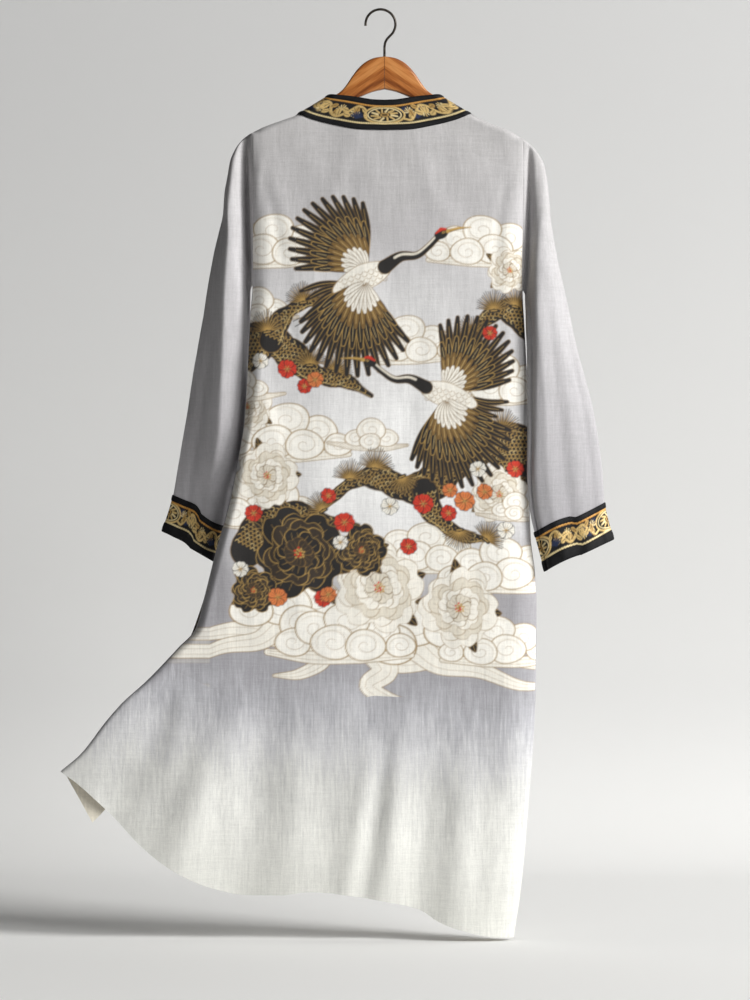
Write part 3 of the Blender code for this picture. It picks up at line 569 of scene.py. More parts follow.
# Motif places: x, drop, scale, degrees, and -1 where it is mirrored
NEEDLES = [
    (-92, 752, 1, -30), (-52, 706, 1.05, 0), (-14, 690, 1.1, 8),
    (26, 702, 1, 160), (84, 690, 1.1, -6), (128, 646, 1.15, 4),
    (176, 632, 1.1, 12), (152, 796, 1.05, 40), (112, 782, 1, 176),
    (-74, 544, 1, 20), (-112, 534, 1.05, 0), (-176, 484, 1.1, -8),
    (-92, 444, 1, 24), (-122, 440, 1.05, -8), (132, 488, 1, -30),
    (164, 452, 1.05, -4), (196, 446, 1, 14),
]
CRANES = [
    (-34, 404, 1.06, -20),
    (96, 580, 1, 14, -1),
]
PEONIES_BEHIND = [
    (172, 728, 0.82, 10), (-176, 700, 0.9, 40),
]
PEONIES = [
    (-8, 868, 1.26, 25), (112, 898, 1.12, 50),
    (-206, 596, 0.72, 15), (188, 392, 0.66, 0),
]
DARK_PEONIES = [
    (-128, 816, 1.28, 0), (-34, 812, 0.72, 30), (-196, 872, 0.66, 10),
]
EMBER_BLOSSOMS = [
    (120, 738, 1.5, 10), (150, 724, 1.2, 34), (98, 722, 1.1, 0),
    (-160, 882, 1.4, 22), (-84, 878, 1.2, 8), (-104, 556, 1.2, 0),
]
RED_BLOSSOMS = [
    (-60, 770, 1.5, 0), (-84, 730, 1.15, 30), (58, 742, 1.5, 12),
    (96, 756, 1.2, 40), (-146, 540, 1.4, 20), (-120, 566, 1.1, 50),
    (196, 690, 1.3, 8), (-196, 756, 1.3, 0), (36, 806, 1.25, 22),
    (158, 486, 1.1, 0), (-92, 884, 1.3, 14),
]
PALE_BLOSSOMS = [
    (8, 746, 1.3, 10), (140, 690, 1.2, 0), (-186, 528, 1.2, 30),
    (-66, 800, 1.1, 0), (182, 782, 1.3, 20), (-216, 840, 1.2, 10),
]


def read(rows, key, column=1):
    """A table's column at keys in its first column, on a smooth curve without overshoot."""
    keys = np.array([row[0] for row in rows], float)
    values = np.array([row[column] for row in rows], float)
    secant = np.diff(values) / np.diff(keys)
    slope = np.empty(len(keys))
    slope[0] = secant[0]
    slope[-1] = secant[-1]
    before, after = secant[:-1], secant[1:]
    same = before * after > 0.0
    total = np.where(same, before + after, 1.0)
    slope[1:-1] = np.where(same, 2.0 * before * after / total, 0.0)
    key = np.clip(np.asarray(key, float), keys[0], keys[-1])
    i = np.clip(np.searchsorted(keys, key) - 1, 0, len(keys) - 2)
    width = keys[i + 1] - keys[i]
    t = (key - keys[i]) / width
    return (
        (2.0 * t**3 - 3.0 * t**2 + 1.0) * values[i]
        + (t**3 - 2.0 * t**2 + t) * width * slope[i]
        + (3.0 * t**2 - 2.0 * t**3) * values[i + 1]
        + (t**3 - t**2) * width * slope[i + 1]
    )


def step(value):
    t = np.clip(value, 0.0, 1.0)
    return t * t * (3.0 - 2.0 * t)


def rounding(value):
    """Quarter round: 0 at the edge, 1 at its full depth."""
    t = 1.0 - np.clip(value, 0.0, 1.0)
    return np.sqrt(np.maximum(0.0, 1.0 - t * t))


def world(x, y, drop):
    """Points in metres from the tables' millimetres."""
    x, y, drop = np.broadcast_arrays(x, y, drop)
    return np.stack([(x + CENTRE_X) * MM, y * MM, -drop * MM], axis=-1)


def armhole_depth(down):
    ends = rounding(down / ARMHOLE_END) * rounding((ARMHOLE_LENGTH - down) / ARMHOLE_END)
    return np.maximum(SEAM_DEPTH, read(ARMHOLE_DEPTH, down) * ends)


def body_depth(x, drop):
    below = np.maximum(0.0, drop - read(RIDGE, x))
    return SHOULDER_ROUND * rounding(below / SHOULDER_DROP) + read(BODY_DEPTH, below)


def edge_depth(left, drop, full):
    top = np.where(left, LEFT_ARM_TOP, RIGHT_ARM_TOP)
    opening = np.where(left, full, SLIT_OPENING)
    below = SEAM_DEPTH + (opening - SEAM_DEPTH) * step((drop - SLIT_TOP) / SLIT_RUN)
    armhole = np.minimum(full, armhole_depth(drop - top))
    return np.where(drop < top + ARMHOLE_LENGTH, armhole, below)


def folds(rows, x, drop):
    total = np.zeros(np.broadcast(x, drop).shape)
    for x_top, top, x_foot, foot, height, wide_top, wide_foot in rows:
        t = (drop - top) / (foot - top)
        middle = x_top + (x_foot - x_top) * t
        wide = wide_top + (wide_foot - wide_top) * np.clip(t, 0.0, 1.0)
        total += height * step(t / FOLD_GROWTH) * np.exp(-(((x - middle) / wide) ** 2))
    return total


def flare(x, drop):
    reach = np.clip((FLARE_START_X - x) / FLARE_REACH, 0.0, 1.0)
    return FLARE_DEPTH * reach**FLARE_CURVE * step((drop - FLARE_TOP) / FLARE_RUN)


def creases(rows, x, drop):
    """Relief of lines from one point to another: a round crest or trough beside its shoulder."""
    total = np.zeros(np.broadcast(x, drop).shape)
    for x_start, start, x_end, end, bow, height, wide in rows:
        run_x, run_d = x_end - x_start, end - start
        length = math.hypot(run_x, run_d)
        t = ((x - x_start) * run_x + (drop - start) * run_d) / length**2
        off = ((x - x_start) * run_d - (drop - start) * run_x) / length
        off = (off - bow * 4.0 * t * (1.0 - t)) / wide
        along = step(t / CREASE_GROWTH) * step((1.0 - t) / CREASE_FADE)
        trough = 0.45 * np.exp(-(((off - 1.9) / 1.4) ** 2))
        total += height * along * (np.exp(-(off**2)) - trough)
    return total


def ripple(x, drop):
    """Slow unevenness of hung linen."""
    return (
        0.7 * np.sin(x / 31.0 + 1.7 * np.sin(drop / 143.0)) * np.sin(drop / 87.0 + x / 120.0)
        + 0.35 * np.sin(x / 13.0 - drop / 61.0 + 2.0 * np.sin(drop / 97.0))
        + 0.25 * np.sin(x / 57.0 + drop / 19.0 + 1.4 * np.sin(x / 41.0))
    )


def body_y(facing, x, drop, inside, fine_relief=True):
    """Outer face of the back (facing -1) or front (+1), at a distance inside its side."""
    full = body_depth(x, drop)
    edge = edge_depth(x < 0.0, drop, full)
    narrow = np.where(x < 0.0, SIDE_TIGHTER, -SIDE_WIDER)
    tight = SIDE_ROUND - narrow * step((drop - SIDE_TIGHT_FROM) / SIDE_TIGHT_RUN)
    near = rounding(inside / tight)
    depth = edge + (full - edge) * near
    large, fine = (BACK_FOLDS, BACK_CREASES) if facing < 0 else (FRONT_FOLDS, FRONT_CREASES)
    fade = near + (1.0 - near) * (edge / np.maximum(full, SEAM_DEPTH))
    depth = depth + folds(large, x, drop) * fade
    if fine_relief:
        below = np.maximum(0.0, drop - read(RIDGE, x))
        calm = near * step(below / RIDGE_CALM)
        depth = depth + (creases(fine, x, drop) + ripple(x, drop)) * calm
    return facing * np.maximum(SEAM_DEPTH, depth) + flare(x, drop)


def body_point(facing, x, drop, inside=WELL_INSIDE, fine_relief=True):
    return world(x, body_y(facing, x, drop, inside, fine_relief), drop)


def unit(vectors):
    return vectors / np.maximum(np.linalg.norm(vectors, axis=-1, keepdims=True), 1e-12)


def patch(top, foot, first, last):
    """Flat pattern between four edge lines, as a function of across and down, 0 to 1."""
    def at(u, v):
        out = []
        for axis in (0, 1):
            sides = (1.0 - u) * first(v)[axis] + u * last(v)[axis]
            ends = (1.0 - v) * top(u)[axis] + v * foot(u)[axis]
            corners = (
                (1.0 - u) * (1.0 - v) * top(0.0)[axis]
                + u * (1.0 - v) * top(1.0)[axis]
                + (1.0 - u) * v * foot(0.0)[axis]
                + u * v * foot(1.0)[axis]
            )
            out.append(sides + ends - corners)
        return out
    return at


def rail(rows):
    def at(v):
        cloth = CLOTH_TOP + v * (CLOTH_HEM - CLOTH_TOP)
        return read(rows, cloth, 1), read(rows, cloth, 2)
    return at


def line(points):
    lengths = [0.0]
    for a, b in zip(points, points[1:]):
        lengths.append(lengths[-1] + math.hypot(b[0] - a[0], b[1] - a[1]))
    rows = [(s / lengths[-1], p[0], p[1]) for s, p in zip(lengths, points)]
    return lambda u: (read(rows, u, 1), read(rows, u, 2))


def back_top(shoulder_x):
    def at(u):
        x = shoulder_x * (1.0 - u)
        under_band = read(BACK_BAND, np.abs(x)) - UNDER_BAND
        return x, np.where(np.abs(x) >= COLLAR_HALF - 0.05, read(RIDGE, x), under_band)
    return at


def band_rail(rows, start, foot, sign, dx=0.0):
    def at(v):
        drop = start + v * (foot - start)
        return sign * (read(rows, drop) + dx), drop
    return at


def grid_normals(points, closed=False):
    if closed:
        across = np.roll(points, -1, axis=1) - np.roll(points, 1, axis=1)
    else:
        across = np.gradient(points, axis=1)
    return unit(np.cross(across, np.gradient(points, axis=0)))


def grid_faces(rows, cols, closed=False):
    last = cols if closed else cols - 1
    r, c = np.meshgrid(np.arange(rows - 1), np.arange(last), indexing="ij")
    d = (c + 1) % cols
    quads = [r * cols + c, r * cols + d, (r + 1) * cols + d, (r + 1) * cols + c]
    return np.stack(quads, axis=-1).reshape(-1, 4)


def linked(name, data):
    obj = bpy.data.objects.new(name, data)
    bpy.context.scene.collection.objects.link(obj)
    return obj


def finish_piece(name, points, faces, material, uv, paint, slot):
    """Mesh piece from flat arrays, smooth shaded, riding on the garment's one body."""
    mesh = bpy.data.meshes.new(name)
    mesh.from_pydata(points.reshape(-1, 3).tolist(), [], faces.tolist())
    mesh.materials.append(material)
    mesh.shade_smooth()
    mesh.set_sharp_from_angle(angle=SHARP)
    layer = mesh.uv_layers.new(name="cloth")
    corner = np.empty(len(mesh.loops), dtype=np.int32)
    mesh.loops.foreach_get("vertex_index", corner)
    layer.data.foreach_set("uv", uv.reshape(-1, 2)[corner].astype(np.float32).ravel())
    if paint is None and slot == "linen":
        paint = np.zeros((len(mesh.vertices), 4))
    if paint is not None:
        colours = mesh.color_attributes.new("paint", "FLOAT_COLOR", "POINT")
        colours.data.foreach_set("color", paint.reshape(-1, 4).astype(np.float32).ravel())
    obj = linked(name, mesh)
    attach(obj, "root")
    return obj


def skin(name, points, outward, material, uv, slot, paint, lift):
    """One layer of a grid, lifted off it by a distance in millimetres."""
    faces = grid_faces(*points.shape[:2])
    if outward < 0:
        faces = faces[:, ::-1]
    lifted = points + grid_normals(points) * outward * lift * MM
    return finish_piece(name, lifted, faces, material, uv, paint, slot)


def cloth(
    name, points, outward, material, uv, slot, thick=CLOTH, closed=False, lining=None, paint=None
):
    """Thin wall of cloth behind a grid of outer points, with its cut edges closed."""
    rows, cols = points.shape[:2]
    inner = points - grid_normals(points, closed) * outward * thick * MM
    quads = grid_faces(rows, cols, closed)
    n = rows * cols
    index = np.arange(n).reshape(rows, cols)
    around = np.arange(cols + closed) % cols
    edges = [index[0, around[::-1]], index[-1, around]]
    if not closed:
        edges += [index[:, 0], index[::-1, -1]]
    rims = [np.stack([e[:-1], e[1:], e[1:] + n, e[:-1] + n], axis=-1) for e in edges]
    faces = np.concatenate([quads, quads[:, ::-1] + n, *rims])
    if outward < 0:
        faces = faces[:, ::-1]
    both = np.stack([points, inner])
    both_uv = np.stack([uv, uv])
    if paint is not None:
        paint = np.stack([paint, paint])
    obj = finish_piece(name, both, faces, material, both_uv, paint, slot)
    if lining:
        obj.data.materials.append(lining)
        index = np.zeros(len(faces), dtype=np.int32)
        index[len(quads):2 * len(quads)] = 1
        obj.data.polygons.foreach_set("material_index", index)
    return obj


def declare(obj, points, nodes, rests_on, closed=False, with_pieces=()):
    """Hides the solids that a cloth piece stands for; the diagonals of its grid are measured but
    not used.
    """
    ring = np.concatenate([points, points[:, :1]], axis=1) if closed else points
    corner_a = ring[1:, 1:] - ring[:-1, :-1]
    corner_b = ring[1:, :-1] - ring[:-1, 1:]
    if nodes:
        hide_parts(*nodes)


def spread(first, pitch, length):
    """Distances that follow a short list near an edge and then an even pitch to a length."""
    count = max(2, round((length - first[-1]) / pitch))
    rest = np.linspace(first[-1], length, count + 1)[1:]
    return np.concatenate([np.array(first), rest])


def cloth_rows():
    length = CLOTH_HEM - CLOTH_TOP
    start = spread(EDGE_ROWS, PANEL_PITCH, length - HEM_ROWS[0])
    return np.concatenate([start, length - np.array(HEM_ROWS[1:])]) / length


def body_normal(facing, x, drop, inside):
    e = NORMAL_STEP
    inward = np.where(x < 0.0, 1.0, -1.0)

    def depth(dx, dd):
        return body_y(facing, x + dx, drop + dd, inside + inward * dx, False)

    across = (depth(e, 0.0) - depth(-e, 0.0)) / (2.0 * e)
    down = (depth(0.0, e) - depth(0.0, -e)) / (2.0 * e)
    normal = np.stack([-across, np.ones_like(across), down], axis=-1) * facing
    flat = np.abs(depth(0.0, 0.0)) < 2.0 * GAP
    normal[..., 1] = np.where(flat, 0.0, normal[..., 1])
    return unit(normal)


def back_left_grid(v, columns=None):
    """Outer face of the left back with its curled edge, or only columns at shares of its width."""
    seam = rail(BACK_SEAM)
    side = rail(LEFT_SIDE)
    flat = patch(back_top(LEFT_SHOULDER_X), line(HEM_LEFT), side, seam)
    v = v[:, None]
    width = seam(v)[0] - side(v)[0]

    def main(u):
        x, drop = flat(u, v)
        return x, drop, u * width

    if columns is not None:
        x, drop, inside = main(columns[None, :])
        return body_point(-1, x, drop, inside), np.stack([x, drop], axis=-1)

    cloth_down = CLOTH_TOP + v * (CLOTH_HEM - CLOTH_TOP)
    curl = CURL_WIDTH * step((cloth_down - CURL_TOP) / (CLOTH_HEM - CURL_TOP))
    near = np.linspace(0.0, 1.0, CURL_STEPS)[None, :-1]
    kept = CURL_KEPT * near + curl * near
    rest = spread([0.0], PANEL_PITCH, -LEFT_SHOULDER_X - CURL_KEPT)[None, :]
    share = rest / rest.max()
    distance = np.concatenate([kept - curl, CURL_KEPT + share * (width - CURL_KEPT)], axis=1)
    x, drop, inside = main(np.clip(distance / width, 0.0, 1.0))
    points = body_point(-1, x, drop, inside)
    fold_x, fold_drop, fold_inside = main(np.zeros_like(v))
    fold = body_point(-1, fold_x, fold_drop, fold_inside)
    in_x, in_drop, in_inside = main(np.full_like(v, CURL_SAMPLE))
    out = body_normal(-1, fold_x, fold_drop, fold_inside)
    away = fold - body_point(-1, in_x, in_drop, in_inside, False)
    away = unit(away - out * (away * out).sum(axis=-1, keepdims=True))
    past = np.maximum(0.0, -distance)[..., None]
    turn = np.minimum(math.pi, past / CURL_RADIUS)
    round_by = away * np.sin(turn) - out * (1.0 - np.cos(turn))
    behind = np.maximum(0.0, past - math.pi * CURL_RADIUS) * MM
    curled = fold + round_by * CURL_RADIUS * MM + (np.array([0.0, 0.0, -CURL_SLIP]) - away) * behind
    points = np.where(past > 0.0, curled, points)
    return points, np.stack([distance, np.broadcast_to(cloth_down, distance.shape)], axis=-1)


def back_right_grid(v, columns=None):
    seam = rail(BACK_SEAM)
    side = rail(RIGHT_SIDE)
    top = back_top(RIGHT_SHOULDER_X)
    flat = patch(lambda u: top(1.0 - u), line(HEM_RIGHT), seam, side)
    v = v[:, None]
    width = side(v)[0] - seam(v)[0]
    if columns is None:
        shares = 1.0 - spread(EDGE_COLUMNS, PANEL_PITCH, RIGHT_SHOULDER_X)[::-1] / RIGHT_SHOULDER_X
    else:
        shares = columns
    u = np.clip(shares, 0.0, 1.0)[None, :]
    x, drop = flat(u, v)
    points = body_point(-1, x, drop, (1.0 - u) * width)
    return points, np.stack([x, drop], axis=-1)


def front_grid(left, v):
    sign = -1.0 if left else 1.0
    foot = FRONT_HEM_LEFT if left else FRONT_HEM_RIGHT
    side = rail(FRONT_LEFT_SIDE if left else FRONT_RIGHT_SIDE)
    shoulder = LEFT_SHOULDER_X if left else RIGHT_SHOULDER_X
    edge = band_rail(FRONT_BAND, BAND_SHOULDER_DROP, foot[-1][1], sign, -UNDER_BAND)

    def top(u):
        x = shoulder + u * (sign * (COLLAR_HALF + GAP) - shoulder)
        return x, read(RIDGE, x)

    flat = patch(top, line(foot), side, edge)
    v = v[:, None]
    full = abs(shoulder) - FRONT_BAND[-1][1]
    u = (spread(EDGE_COLUMNS, PANEL_PITCH, full) / full)[None, :]
    x, drop = flat(u, v)
    inside = u * np.abs(edge(v)[0] - side(v)[0])
    return body_point(1, x, drop, inside), np.stack([x, drop], axis=-1)


def collar_rulings(front_pitch, back_pitch):
    """Ends of the lines across the band, from the left hem over the neck to the right hem."""
    necks, bodies, facing = [], [], []
    length = CLOTH_HEM - CLOTH_TOP
    down = spread(EDGE_ROWS, front_pitch, length) / length
    for sign, hem in ((-1.0, FRONT_HEM_LEFT[-1][1]), (1.0, FRONT_HEM_RIGHT[-1][1])):
        v = down[::-1] if sign < 0.0 else down
        if sign > 0.0:
            near = spread(EDGE_ROWS, back_pitch, COLLAR_HALF)[1:] / COLLAR_HALF
            half = 1.0 - near
            share = np.concatenate([-half, half[-2::-1]])
            x_neck, x_body = share * NECK_HALF, share * COLLAR_HALF
            necks.append(np.stack([x_neck, read(BACK_NECK, np.abs(x_neck))], axis=-1))
            bodies.append(np.stack([x_body, read(BACK_BAND, np.abs(x_body))], axis=-1))
            facing.append(np.full(len(share), -1.0))
        neck = band_rail(FRONT_NECK, NECK_SHOULDER_DROP, hem, sign)(v)
        body = band_rail(FRONT_BAND, BAND_SHOULDER_DROP, hem, sign)(v)
        necks.append(np.stack(neck, axis=-1))
        bodies.append(np.stack(body, axis=-1))
        facing.append(np.ones(len(v)))
    return np.concatenate(necks), np.concatenate(bodies), np.concatenate(facing)


def collar_grid(rulings, first, last, columns, proud):
    """Strip of the band between two distances; a distance below 0 is from its body edge."""
    necks, bodies, facing = rulings
    width = np.linalg.norm(bodies - necks, axis=-1, keepdims=True)
    start = first if first >= 0.0 else width + first
    end = last if last > 0.0 else width + last
    t = np.linspace(0.0, 1.0, columns)[None, :]
    across = start + (end - start) * t + 0.0 * width
    share = (across / width)[..., None]
    flat = necks[:, None] * (1.0 - share) + bodies[:, None] * share
    x, drop = flat[..., 0], flat[..., 1]
    back = body_y(-1, x, drop, WELL_INSIDE)
    front = body_y(1, x, drop, WELL_INSIDE)
    points = world(x, np.where(facing[:, None] < 0.0, back, front), drop)
    normal = grid_normals(points)
    middle = points[:, columns // 2]
    along = np.concatenate([[0.0], np.cumsum(np.linalg.norm(np.diff(middle, axis=0), axis=-1))])
    uv = np.stack([np.broadcast_to(along[:, None] / MM, across.shape), across], axis=-1)
    return points + normal * proud(t)[..., None] * MM, uv


def section(share, ridge, power, outer, inner):
    """Share of a sleeve's half depth across it, highest at the ridge."""
    rise = np.where(share < ridge, share / ridge, (1.0 - share) / (1.0 - ridge))
    root = np.where(share < ridge, outer, inner)
    return np.maximum(0.0, 1.0 - np.abs(1.0 - rise) ** power) ** root


def sleeve_grid(rows, sleeve_folds, form, valley, slip, stations, count, proud):
    """Rings of a sleeve or cuff at stations along it, with lengthwise folds."""
    turn = np.arange(count) / count
    angle = 2.0 * math.pi * turn
    share = (1.0 - np.cos(angle)) / 2.0
    stations = np.asarray(stations, float)
    start = np.clip((stations - SLIP_START) / (SLEEVE_LENGTH - SLIP_START), 0.0, 1.0)
    reach = start[:, None] ** SLIP_CURVE
    near = np.where(np.sin(angle) > 0.0, 1.0, HIDDEN_SLIP)
    along = np.maximum(stations[:, None] + reach * near * read(slip, share), 0.0)
    flat_along = np.broadcast_to(stations[:, None], along.shape)
    a = world(read(rows, along, 1), read(rows, along, 6), read(rows, along, 2))
    b = world(read(rows, along, 3), read(rows, along, 7), read(rows, along, 4))
    length = np.linalg.norm(b - a, axis=-1, keepdims=True) / MM
    across = unit(b - a)
    viewer = np.array([0.0, -1.0, 0.0])
    depth_way = unit(viewer - across * (across * viewer).sum(axis=-1, keepdims=True))
    half = read(rows, along, 5)
    armhole = 1.0 - step(along / ARMHOLE_BLEND)
    ridge = read(form, along, 1)
    shown = section(share, ridge, read(form, along, 2), read(form, along, 3), read(form, along, 4))
    hidden = section(share, 0.5, SECTION_POWER, 0.5, 0.5)
    risen = half + read(form, along, 5)
    hung = np.where(np.sin(angle) > 0.0, risen * shown, half * hidden)
    depth = armhole * armhole_depth(share * ARMHOLE_LENGTH) + (1.0 - armhole) * hung
    profile = np.stack([share * length[..., 0], np.copysign(depth, np.sin(angle) + 1e-9)], axis=-1)
    run = unit(np.roll(profile, -1, axis=1) - np.roll(profile, 1, axis=1))
    wave = np.sin(flat_along / 23.0 + 9.0 * turn) * np.sin(angle + flat_along / 61.0)
    relief = 0.5 * wave * (1.0 - armhole)
    for turn_a, turn_b, low, high, height, wide in sleeve_folds:
        t = (flat_along - low) / (high - low)
        middle = turn_a + (turn_b - turn_a) * t
        off = (turn[None, :] - middle + 0.5) % 1.0 - 0.5
        left = SLEEVE_END + SLEEVE_FOLD_FADE - flat_along
        window = step(t / SLEEVE_FOLD_GROWTH) * step(left / SLEEVE_FOLD_FADE)
        relief += height * window * np.exp(-((off / wide) ** 2))
    offset = proud + relief
    flat_x = np.abs(read(rows, along, 1) * (1.0 - share) + read(rows, along, 3) * share)
    flat_drop = read(rows, along, 2) * (1.0 - share) + read(rows, along, 4) * share
    off = (flat_x - read(valley, flat_drop)) / read(valley, flat_drop, 2)
    sunk = read(valley, flat_drop, 3) * np.exp(-(off**2)) * step(flat_along / VALLEY_GROWTH)
    across_by = profile[..., 0] - run[..., 1] * offset
    depth_by = profile[..., 1] + run[..., 0] * offset - sunk
    points = a + (across * across_by[..., None] + depth_way * depth_by[..., None]) * MM
    girth = np.linalg.norm(np.roll(profile, -1, axis=1) - profile, axis=-1)
    girth = np.cumsum(girth, axis=1) - girth
    return points, np.stack([girth, flat_along], axis=-1)


def hanger_half(name, sign, wood):
    """Flat wooden arm from its smooth outline, with rounded edges."""
    outline = []
    for rows, way in ((HANGER_TOP, 1), (HANGER_FOOT, -1)):
        rows = rows[::way]
        smooth = [row for row in rows if row[0] <= HANGER_CORNER]
        fine = np.arange(0.0, smooth[-1][0], HANGER_PITCH)
        points = [(s, float(read(smooth, s))) for s in fine]
        points += [row for row in rows if row[0] > fine[-1]]
        outline += points[::way]
    bm = bmesh.new()
    half = HANGER_THICK / 2.0
    verts = [
        bm.verts.new(world(sign * max(s, JOINT_GAP), -half, drop).tolist()) for s, drop in outline
    ]
    face = bm.faces.new(verts)
    pushed = bmesh.ops.extrude_face_region(bm, geom=[face])
    moved = [item for item in pushed["geom"] if isinstance(item, bmesh.types.BMVert)]
    bmesh.ops.translate(bm, verts=moved, vec=(0.0, HANGER_THICK * MM, 0.0))
    bmesh.ops.recalc_face_normals(bm, faces=bm.faces)
    joint = (CENTRE_X + sign * JOINT_GAP) * MM
    rim = []
    for edge in bm.edges:
        a, b = edge.verts
        at_joint = max(abs(a.co.x - joint), abs(b.co.x - joint)) < 0.1 * MM
        if abs(a.co.y - b.co.y) < half * MM and not at_joint:
            rim.append(edge)
    bmesh.ops.bevel(bm, geom=rim, offset=HANGER_ROUND * MM, segments=4, profile=0.5, affect="EDGES")
    mesh = bpy.data.meshes.new(name)
    bm.to_mesh(mesh)
    bm.free()
    mesh.materials.append(wood)
    mesh.shade_smooth()
    mesh.set_sharp_from_angle(angle=SHARP)
    obj = linked(name, mesh)
    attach(obj, "root")
    return obj


def make_hook(steel):
    """The wire on its smooth centre line, from its free end down into the wood."""
    centre = HOOK_RADIUS - WIRE_RADIUS
    first, last = HOOK_DEGREES
    angles = np.radians(np.arange(first, last - 1, -3))
    route = [(HOOK_RADIUS * math.cos(a), centre - HOOK_RADIUS * math.sin(a)) for a in angles]
    neck = line([route[-1]] + HOOK_NECK + [(CENTRE_X, STEM_FOOT)])
    route += [tuple(float(c) for c in neck(t)) for t in np.linspace(0.0, 1.0, 28)[1:]]
    wire = bpy.data.curves.new("hook_wire", "CURVE")
    wire.dimensions = "3D"
    wire.bevel_depth = WIRE_RADIUS * MM
    wire.bevel_resolution = 5
    wire.use_fill_caps = True
    spline = wire.splines.new("POLY")
    spline.points.add(len(route) - 1)
    for point, (x, drop) in zip(spline.points, route):
        point.co = (x * MM, 0.0, -drop * MM, 1.0)
    spline.use_smooth = True
    wire.materials.append(steel)
    obj = linked("hook_wire", wire)
    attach(obj, "root")
    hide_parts("hook")


def srgb(red, green, blue):
    """Linear colour of a 0 to 255 screen colour."""
    scaled = np.array([red, green, blue]) / 255.0
    low = scaled / 12.92
    high = ((scaled + 0.055) / 1.055) ** 2.4
    return tuple(float(c) for c in np.where(scaled <= 0.04045, low, high))


INK = srgb(30, 27, 26)
GOLD = srgb(186, 150, 82)
GOLD_PALE = srgb(214, 186, 124)
GOLD_DARK = srgb(120, 92, 48)
CREAM = srgb(234, 230, 220)
CREAM_DARK = srgb(218, 211, 196)
TAN = srgb(158, 134, 98)
CLOUD_WHITE = srgb(243, 241, 235)
RED = srgb(200, 52, 32)
EMBER = srgb(214, 122, 66)
WARM_INK = srgb(52, 42, 32)
BLEACH = srgb(238, 238, 237)
WEAVE_BLACK = srgb(14, 14, 17)
WEAVE_NAVY = srgb(34, 44, 72)
THREAD = srgb(206, 176, 116)
THREAD_PALE = srgb(232, 212, 160)
THREAD_DARK = srgb(176, 142, 84)
THREAD_EDGE = srgb(206, 150, 74)
BLACK = (0.0, 0.0, 0.0)
WHITE = (1.0, 1.0, 1.0)


def plug(tree, value, target):
    """Links a wire or a socket to an input, or sets a plain value on it."""
    value = getattr(value, "socket", value)
    if isinstance(value, bpy.types.NodeSocket):
        tree.links.new(value, target)
    else:
        target.default_value = value


def node(tree, kind, inputs=None, **settings):
    made = tree.nodes.new(kind)
    for key, value in settings.items():
        setattr(made, key, value)
    for key, value in (inputs or {}).items():
        plug(tree, value, made.inputs[key])
    return made


class Wire:
    """What a shader node puts out, so that sums of nodes read as sums."""

    def __init__(self, tree, socket):
        self.tree, self.socket = tree, socket

    def calc(self, operation, other=0.0):
        made = node(self.tree, "ShaderNodeMath", {0: self, 1: other}, operation=operation)
        return Wire(self.tree, made.outputs[0])

    def __add__(self, other):
        return self.calc("ADD", other)

    def __sub__(self, other):
        return self.calc("SUBTRACT", other)

    def __rsub__(self, other):
        return self * -1.0 + other

    def __mul__(self, other):
        return self.calc("MULTIPLY", other)

    def __truediv__(self, other):
        return self.calc("DIVIDE", other)

    def __abs__(self):
        return self.calc("ABSOLUTE")


class Look:
    """A material built up from shader nodes; a method gives what its node puts out."""

    def __init__(self, name, roughness, metallic=0.0):
        self.mat = bpy.data.materials.new(name)
        self.mat.use_nodes = True
        self.tree = self.mat.node_tree
        self.shader = self.tree.nodes["Principled BSDF"]
        self.set("Roughness", roughness)
        self.set("Metallic", metallic)
        self.coords = self.out("ShaderNodeTexCoord", "Object")

    def set(self, name, value):
        plug(self.tree, value, self.shader.inputs[name])

    def out(self, kind, output=0, inputs=None, **settings):
        return Wire(self.tree, node(self.tree, kind, inputs, **settings).outputs[output])

    def axes(self, vector):
        parts = node(self.tree, "ShaderNodeSeparateXYZ", {0: vector})
        return [Wire(self.tree, socket) for socket in parts.outputs]

    def noise(self, scale, detail=2.0, roughness=0.5, coords=None):
        """Noise stretched by a scale for each axis, about one blob for each unit."""
        vector = self.out(
            "ShaderNodeVectorMath", 0, {0: coords or self.coords, 1: scale}, operation="MULTIPLY"
        )
        return self.out(
            "ShaderNodeTexNoise", 0,
            {"Vector": vector, "Scale": 1.0, "Detail": detail, "Roughness": roughness},
        )

    def ramp(self, factor, stops, smooth="LINEAR"):
        made = node(self.tree, "ShaderNodeValToRGB", {0: factor})
        made.color_ramp.interpolation = smooth
        points = made.color_ramp.elements
        while len(points) < len(stops):
            points.new(0.5)
        for point, (place, colour) in zip(points, stops):
            point.position = place
            point.color = (*colour, 1.0)
        return Wire(self.tree, made.outputs[0])

    def mixed(self, factor, first, second, kind="MIX"):
        second = second if isinstance(second, Wire) else (*second, 1.0)
        return self.out(
            "ShaderNodeMix", 2, {0: factor, 6: first, 7: second}, data_type="RGBA", blend_type=kind
        )

    def shaded(self, colour, tone):
        grey = self.out("ShaderNodeCombineColor", 0, {0: tone, 1: tone, 2: tone})
        return self.mixed(1.0, colour, grey, "MULTIPLY")

    def emboss(self, height, strength, distance):
        inputs = {"Height": height, "Strength": strength, "Distance": distance}
        self.set("Normal", self.out("ShaderNodeBump", 0, inputs))

    def paint(self):
        made = node(self.tree, "ShaderNodeAttribute", attribute_name="paint")
        return [Wire(self.tree, made.outputs[name]) for name in ("Color", "Alpha")]


